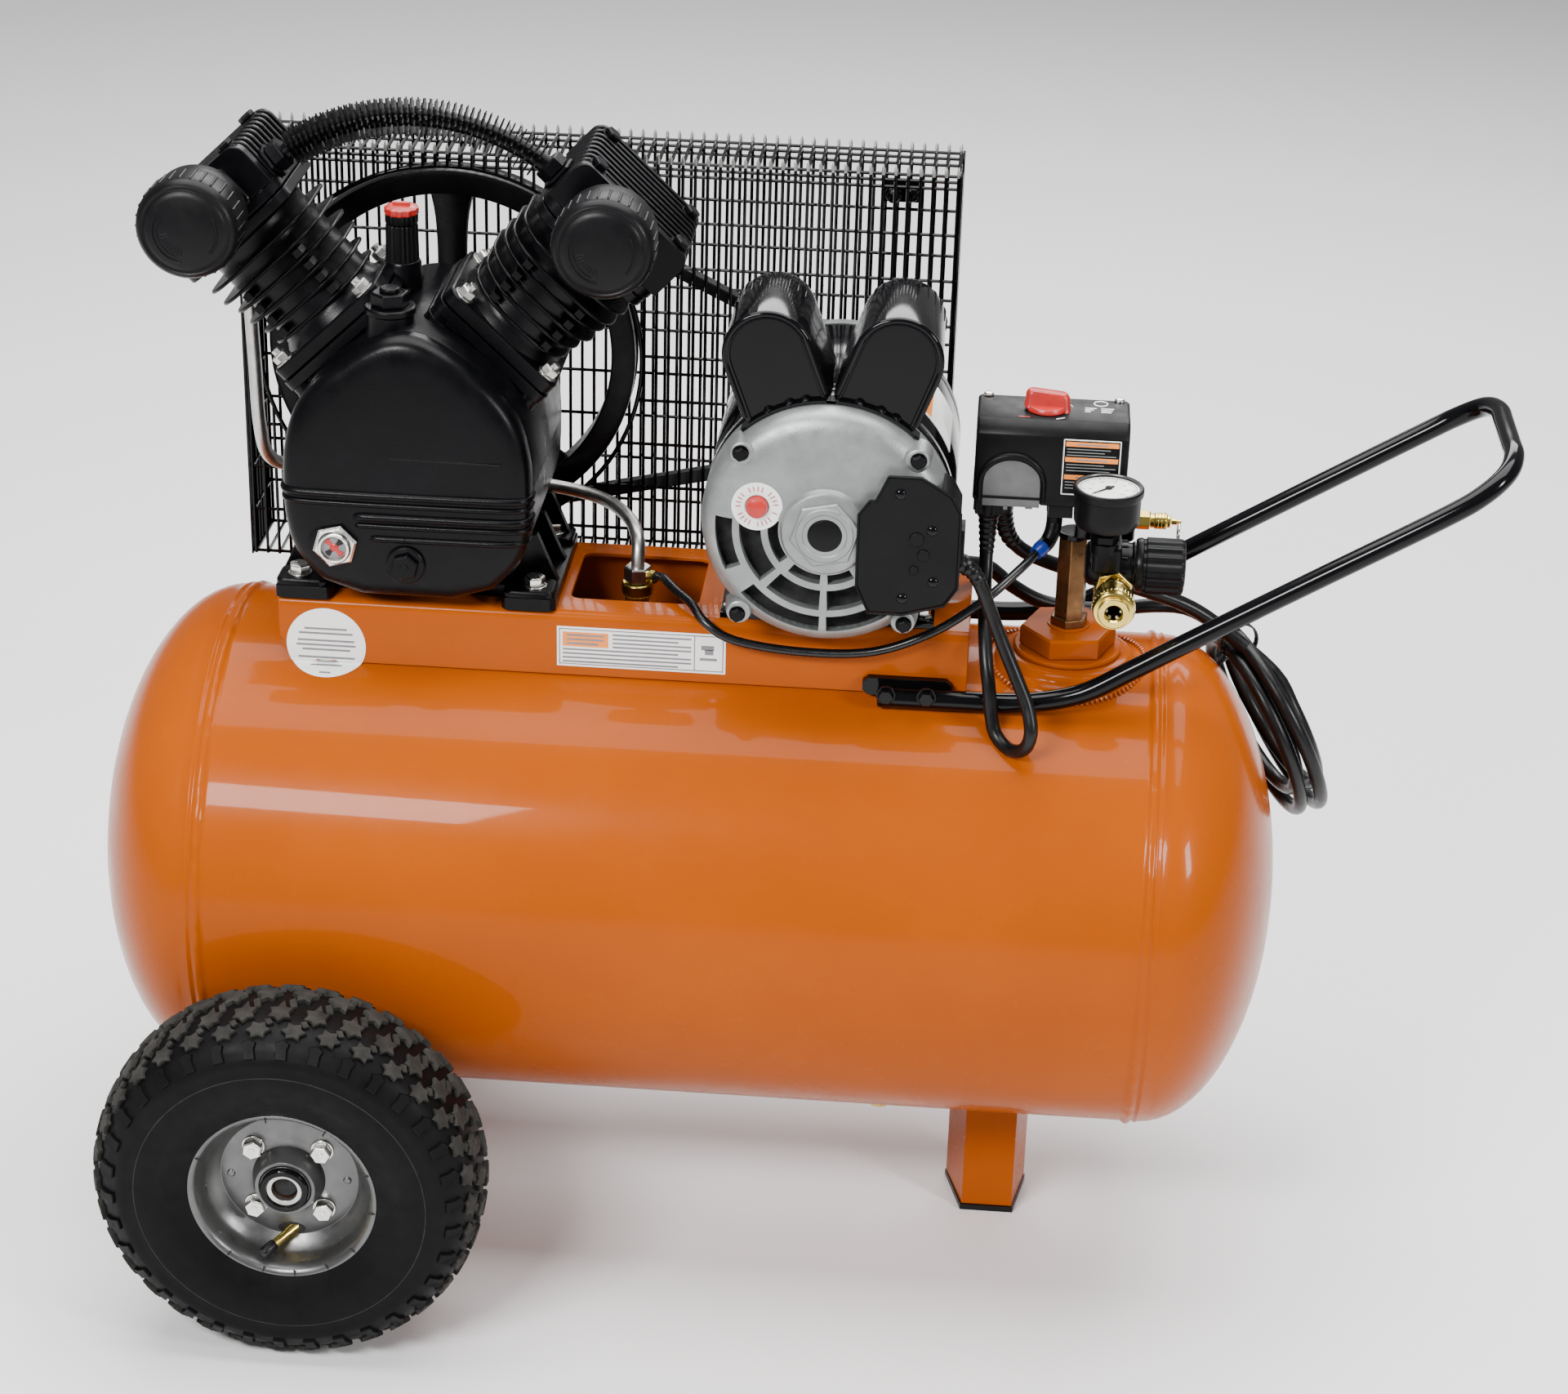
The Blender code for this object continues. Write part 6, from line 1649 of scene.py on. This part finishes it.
def build_switch():
    x0, x1 = 193, 297
    side = [(-38, 590), (18, 590), (18, 646), (14, 650), (-27, 650), (-31, 648.6), (-37.4, 642),
        (-38, 640)]
    body = make("switch_housing", [prism(side, x0, x1, "X", 2.2)], "plastic", nodes="switch_body")
    arch = rounded(19.5, 18.6, 18.4, 8, (219, 604.5))
    arch = [(a, b) for a, b in arch if b > 604.5] + [(199.5, 589), (238.5, 589)]
    carve(body, prism(arch, -44, -34.5, "Y"))
    soften(body, 1.6, 3)
    parts = []
    # Moulded hood over the grey service plate.
    hood = []
    for k in range(25):
        a = math.pi * (1 - k / 24)
        hood.append((219 + 22 * math.cos(a), -38.2, 604.5 + 21 * math.sin(a)))
    hood = [(197, -38.2, 593)] + hood + [(241, -38.2, 593)]
    size = [1.4 + 1.6 * math.sin(math.pi * k / (len(hood) - 1)) for k in range(len(hood))]
    parts.append(swept(hood, 2, 12, size))
    parts.append((prism([(a, b) if b > 590 else (a, 588) for a, b in arch], -36.8, -34.9, "Y"), "rim"))
    parts.append((block(214, 217, -36.8, -35, 585.4, 588.6), "rim"))
    parts.append((block(229, 234, -36.8, -35, 586.8, 588.6), "rim"))
    # Parting line, strain-relief block, cord glands and the neck to the manifold.
    parts.append(block(192.6, 297.4, -38.4, 18.4, 594, 595))
    parts.append(block(195, 214.6, -35, -14, 580.5, 590.4))
    parts.append(block(245, 262, -30, 4, 578.6, 590.4))
    for x, y, r in ((204.5, -26, 10), (214, 0, 10)):
        gland = [(5.6, 576.9), (r - 2, 576.9), (r - 0.6, 579), (r, 582), (r, 590.3), (5.6, 590.3)]
        parts.append(turned(gland, 32, "Z", (x, y, 0)))
        for a in spokes(14):
            parts.append(rod(0.9, 580, 588, "Z", (x + r * math.cos(a), y + r * math.sin(a), 0), 6))
    parts.append(turned([(3.4, 578.3), (6, 578.3), (6, 590.3), (3.4, 590.3)], 24, "Z", (250, -16, 0)))
    parts.append((block(262.5, 282, -18, 4, 583.6, 590.4), "steel"))
    # Switch legend on the top, as plain marks.
    knob_axis = (240, -10, 0)
    for first in (-70, 20):
        mark = arc((knob_axis[0], knob_axis[1], 650.15), 19, first, first + 20, 4)
        parts.append((swept(mark, 0.35, 6), "white"))
    parts.append((block(221, 229, -26.6, -25.4, 649.9, 650.25), "red"))
    parts.append((ring_tube(circle(4.6, 24, "XY", (277, 5, 650.1)), 0.5, 6), "white"))
    for k in range(3):
        y = -4 - 3.4 * k
        parts.append((block(266, 274 - 2 * k, y - 0.6, y + 0.6, 649.9, 650.25), "white"))
        parts.append((block(277, 286 - k, y - 0.6, y + 0.6, 649.9, 650.25), "white"))
    for x, y in ((200, 12), (290, 12)):
        parts.append((turned([(0, 652.6), (2.6, 652.2), (3.6, 651), (3.6, 649), (0, 649)], 20, "Z",
            (x, y, 0)), "zinc"))
    # Front label: a pale frame round amber bands and rows of plain lines.
    lx0, lx1, lz0, y = 252.5, 291.5, 599.5, -38.3
    for a0, a1, b0, b1 in ((lx0, lx1, lz0, lz0 + 0.8), (lx0, lx1, 639.2, 640), (lx0, lx0 + 0.8, lz0, 640),
            (lx1 - 0.8, lx1, lz0, 640)):
        parts.append((block(a0, a1, y, y + 0.5, b0, b1), "white"))
    for z in (634.8, 623.6, 610.8):
        parts.append((block(lx0 + 1.6, lx1 - 1.6, y, y + 0.5, z, z + 3.4), "amber"))
        parts.append((block(lx0 + 9, lx1 - 9, y - 0.08, y + 0.3, z + 1.1, z + 2.2), "ink"))
        for k in range(3):
            low = z - 2.2 - 2.2 * k
            if low > lz0 + 1:
                parts.append((block(lx0 + 2.4, lx1 - 3 - 4 * ((k + int(z)) % 3), y, y + 0.5, low,
                    low + 0.6), "bell"))
    make("switch_trim", parts, "plastic", bevel=0.2)
    knob = [turned([(0, 650.4), (14, 650.4), (14, 652.2), (13, 654), (0, 655)], 40, "Z", knob_axis)]
    grip = []
    for z, a, b in ((652.5, 15.5, 6.6), (656, 15.2, 5.2), (662, 14.6, 4.8), (664.4, 13.4, 4.2),
            (665, 12.4, 3.4)):
        grip.append([(knob_axis[0] + u * (1 if u < 0 else 1.05), knob_axis[1] + v, z - 0.10 * (u + 15))
            for u, v in rounded(a, b, min(b - 0.2, 4), 5)])
    knob.append(layers(grip))
    make("switch_lever", knob, "red", "switch_knob", "switch_knob", bevel=0.4)


# ------------------------------------------------------------------ outlet manifold

def build_manifold():
    riser = (265, -8, 0)
    pipe = [(6, 475), (8, 475), (8, 491), (6, 491)]
    parts = [turned(pipe, 24, "Z", riser), hexagon(19.5, 490.4, 560.4, "Z", riser, 0.8, math.radians(20)),
        hexagon(24, 490.4, 497, "Z", riser, 0.8, math.radians(20)),
        rod(6.2, 580, 589.6, "Z", (273, -8, 0), 24)]
    cross = rounded(20.6, 15.6, 4, 5, (285, -8))
    parts.append((prism(cross, 560.2, 581.8, "Z", 1.4), "gloss"))
    parts.append((rod(11.5, 556.5, 561, "Z", riser, 32, edge=0.6), "gloss"))
    parts.append((hexagon(16, 581.4, 585.4, "Z", (273, -8, 0), 0.6), "gloss"))
    make("riser_hex_pipe", parts, "bronze", nodes="riser_pipe", bevel=0.4)
    regulator = (0, -44, 553)
    bowl = [(0, 272.2), (11, 272.2), (14, 273.6), (15.6, 276), (16, 279), (16, 300), (15, 302), (15, 304),
        (16, 305), (16, 305.9), (0, 305.9)]
    parts = [turned(bowl, 48, "X", regulator)]
    for a in spokes(10):
        parts.append(rod(1.6, 279, 301, "X", (0, -44 + 15.4 * math.cos(a), 553 + 15.4 * math.sin(a)), 8,
            edge=0.5))
    parts += [rod(9, -34.5, -24.3, "Y", (284, 0, 566), 28, edge=0.4),
        prism(rounded(10, 20, 4, 5, (286, -50)), 556, 574, "Z", 1.2),
        turned([(0, 570), (9.5, 570), (9.5, 577), (7, 578), (7, 586), (0, 586)], 28, "Z", (284, -63, 0)),
        hexagon(17, 577.6, 583.6, "Z", (284, -63, 0), 0.7),
        (hexagon(24, -62, -51, "Y", (292, 0, 541), 1, 0.3), "brass"),
        rod(13, -52, -44, "Y", (292, 0, 541), 32, edge=0.6)]
    make("regulator_casting", parts, "cast", nodes="regulator_body", bevel=0.4)
    # Ribbed knob: a turned core with rounded ribs along it.
    rings = []
    for x, k in ((306.6, 0.92), (307.4, 0.97), (309, 1), (311, 1), (311.6, 0.94), (313.4, 0.94), (314, 1),
            (336, 1), (338.4, 0.98), (339.6, 0.93), (339.9, 0.88)):
        ring = []
        for i in range(144):
            a = 2 * math.pi * i / 144
            wave = max(-0.35, math.cos(18 * a))
            size = 18.5 + (1.1 * wave if x > 311 else 0.3)
            ring.append((x, -44 + size * k * math.cos(a), 553 + size * k * math.sin(a)))
        rings.append(ring)
    face = rod(13.5, 339.4, 340.5, "X", regulator, 40, edge=0.5)
    make("regulator_grip", [layers(rings), face], "plastic", "regulator_knob", "regulator_knob", sharp=30)
    gauge = (284, -63, 0)
    case = [(0, 586.4), (9, 586.4), (9, 588), (16, 588.4), (20.5, 590), (22.2, 593), (22.5, 598),
        (22.5, 611), (23.6, 611.8), (24, 613), (24, 616.6), (23.2, 617.6), (21.8, 617.8), (21.2, 617.2),
        (21.2, 615.4), (0, 615.4)]
    parts = [turned(case, 72, "Z", gauge), (rod(21.1, 615.2, 615.6, "Z", gauge, 64), "white"),
        (ring_tube(circle(21.6, 64, "XY", (gauge[0], gauge[1], 617.3)), 0.7, 8), "rim")]
    for k in range(29):
        a = math.radians(225 - 270 * k / 28)
        first = 15.4 if k % 4 == 0 else 17.2
        line = [(gauge[0] + reach * math.cos(a), gauge[1] + reach * math.sin(a), 615.65)
            for reach in (first, 19.2)]
        parts.append((swept(line, 0.32 if k % 4 == 0 else 0.2, 4), "ink"))
    parts.append((swept(arc((gauge[0], gauge[1], 615.65), 19.4, 225, -45, 54), 0.25, 4), "ink"))
    for k in range(8):
        a = math.radians(225 - 270 * k / 7)
        x, y = gauge[0] + 12.6 * math.cos(a), gauge[1] + 12.6 * math.sin(a)
        parts.append((block(x - 1.3, x + 1.3, y - 0.45, y + 0.45, 615.55, 615.72), "ink"))
    make("gauge_case", parts, "plastic", nodes="gauge", sharp=35)
    tip = Vector((-math.sqrt(0.5), -math.sqrt(0.5), 0))
    over = Vector((-tip.y, tip.x, 0))
    hub = Vector((gauge[0], gauge[1], 0))
    shape = [hub - tip * 5 + over * 0.9, hub - tip * 5 - over * 0.9, hub - over * 0.8, hub + tip * 15.8
        - over * 0.15, hub + tip * 15.8 + over * 0.15, hub + over * 0.8]
    hand = layers([[(p.x, p.y, z) for p in shape] for z in (616.1, 616.6)])
    make("gauge_hand", [hand, rod(2.3, 615.9, 617.2, "Z", gauge, 24, edge=0.3)], "dark", "gauge_needle",
        "gauge_needle")
    # Safety valve with its pull ring.
    valve = (0, -12, 573)
    parts = [hexagon(11.5, 306.5, 316, "X", valve, 0.7, 0.3), rod(4.9, 315.6, 319, "X", valve, 24),
        rod(5.6, 318.6, 327.6, "X", valve, 32, edge=0.6), rod(4.4, 327.4, 330, "X", valve, 24, edge=0.5)]
    for x in (320.6, 323, 325.4):
        parts.append(turned([(5.2, x), (5.9, x + 0.3), (5.9, x + 0.9), (5.2, x + 1.2)], 32, "X", valve))
    make("safety_valve_body", parts, "brass", nodes="safety_valve", bevel=0.25)
    ring = ring_tube(circle(9, 48, "YZ", (336, -12, 563.5)), 0.85, 10)
    stem = [rod(2.1, 330.4, 334.6, "X", valve, 20, edge=0.3), rod(1.5, 334, 337.4, "X", valve, 16,
        edge=0.3)]
    make("safety_pull", [(ring, "zinc")] + stem, "brass", "safety_ring", "safety_ring")
    # Quick coupler: body with an open socket, and a sliding knurled sleeve.
    coupler = (292, 0, 541)
    body = [(5.2, -70), (7, -64), (7, -62.4), (10.3, -62.4), (10.4, -68.4), (8.5, -69), (8.4, -98.4),
        (10.6, -98.8), (11, -99.6), (11, -101.2), (10.2, -102), (6.6, -102), (5.3, -100.4)]
    # The dark disc in the socket's mouth is painted shade for its bore.
    parts = [turned(body, 48, "Y", coupler), (rod(5.4, -70, -68.5, "Y", coupler, 24), "dark"),
        hexagon(19, -68.6, -62.4, "Y", coupler, 0.7, 0.3)]
    for k in range(6):
        a = math.radians(60 * k)
        parts.append((rod(1, -97, -95, "Y", about(coupler, 4.9, a), 10), "steel"))
    make("coupler_socket", parts, "brass", nodes="coupler_body", bevel=0.2)
    sleeve = [(8.9, -75.2), (12.8, -75.2), (13.6, -76), (14, -78), (13.8, -80), (12.6, -82.6),
        (12.5, -84), (13.4, -86), (14.4, -87.4), (14.5, -88), (14.5, -94.6), (13.8, -96), (13.4, -97.6),
        (12.8, -98), (8.9, -98)]
    parts = [turned(sleeve, 64, "Y", coupler)]
    for a in spokes(36):
        parts.append(rod(0.55, -94, -88.4, "Y", about(coupler, 14.4, a), 6, edge=0.2))
    make("coupler_grip", parts, "brass", "coupler_sleeve", "coupler_sleeve")


# ------------------------------------------------------------------ stage and lights

def build_stage():
    floor = bpy.data.objects.new("floor", bpy.data.meshes.new("floor"))
    reach = 30
    floor.data.from_pydata([(-reach, -reach, 0), (reach, -reach, 0), (reach, reach, 0),
        (-reach, reach, 0)], [], [(0, 1, 2, 3)])
    paper = Nodes("paper_floor", (0.75, 0.75, 0.75), 0.9)
    paper.set(**{"Specular IOR Level": 0.1})
    floor.data.materials.append(paper.mat)
    bpy.context.scene.collection.objects.link(floor)


def area_light(name, place, target, size, power):
    data = bpy.data.lights.new(name, "AREA")
    data.shape = "RECTANGLE"
    data.size, data.size_y = size
    data.energy = power
    obj = bpy.data.objects.new(name, data)
    bpy.context.scene.collection.objects.link(obj)
    obj.location = place
    obj.rotation_euler = (Vector(target) - Vector(place)).to_track_quat("-Z", "Y").to_euler()


def build_lights():
    world = bpy.data.worlds.new("studio")
    world.use_nodes = True
    back = world.node_tree.nodes["Background"]
    back.inputs["Color"].default_value = (1, 1, 1, 1)
    back.inputs["Strength"].default_value = 0.3
    bpy.context.scene.world = world
    area_light("top", (0, 0.3, 3), (0, 0, 0), (3.2, 2.4), 240)
    area_light("window", (-0.95, -1.75, 1.8), (-0.2, 0, 0.4), (0.95, 0.4), 75)
    area_light("side", (2.1, -1.5, 1.5), (0.2, 0, 0.4), (0.35, 0.6), 45)
    area_light("rear", (0.3, 2.6, 2.2), (0, 0, 0.4), (2.4, 0.8), 60)


build_camera()
build_cords()
build_tank()
build_saddle()
build_underside()
build_wheels()
build_handle()
build_crankcase()
build_banks()
build_pump_tubes()
build_drive()
build_guard()
build_motor()
build_switch()
build_manifold()
finish_cad_nodes()
build_stage()
build_lights()
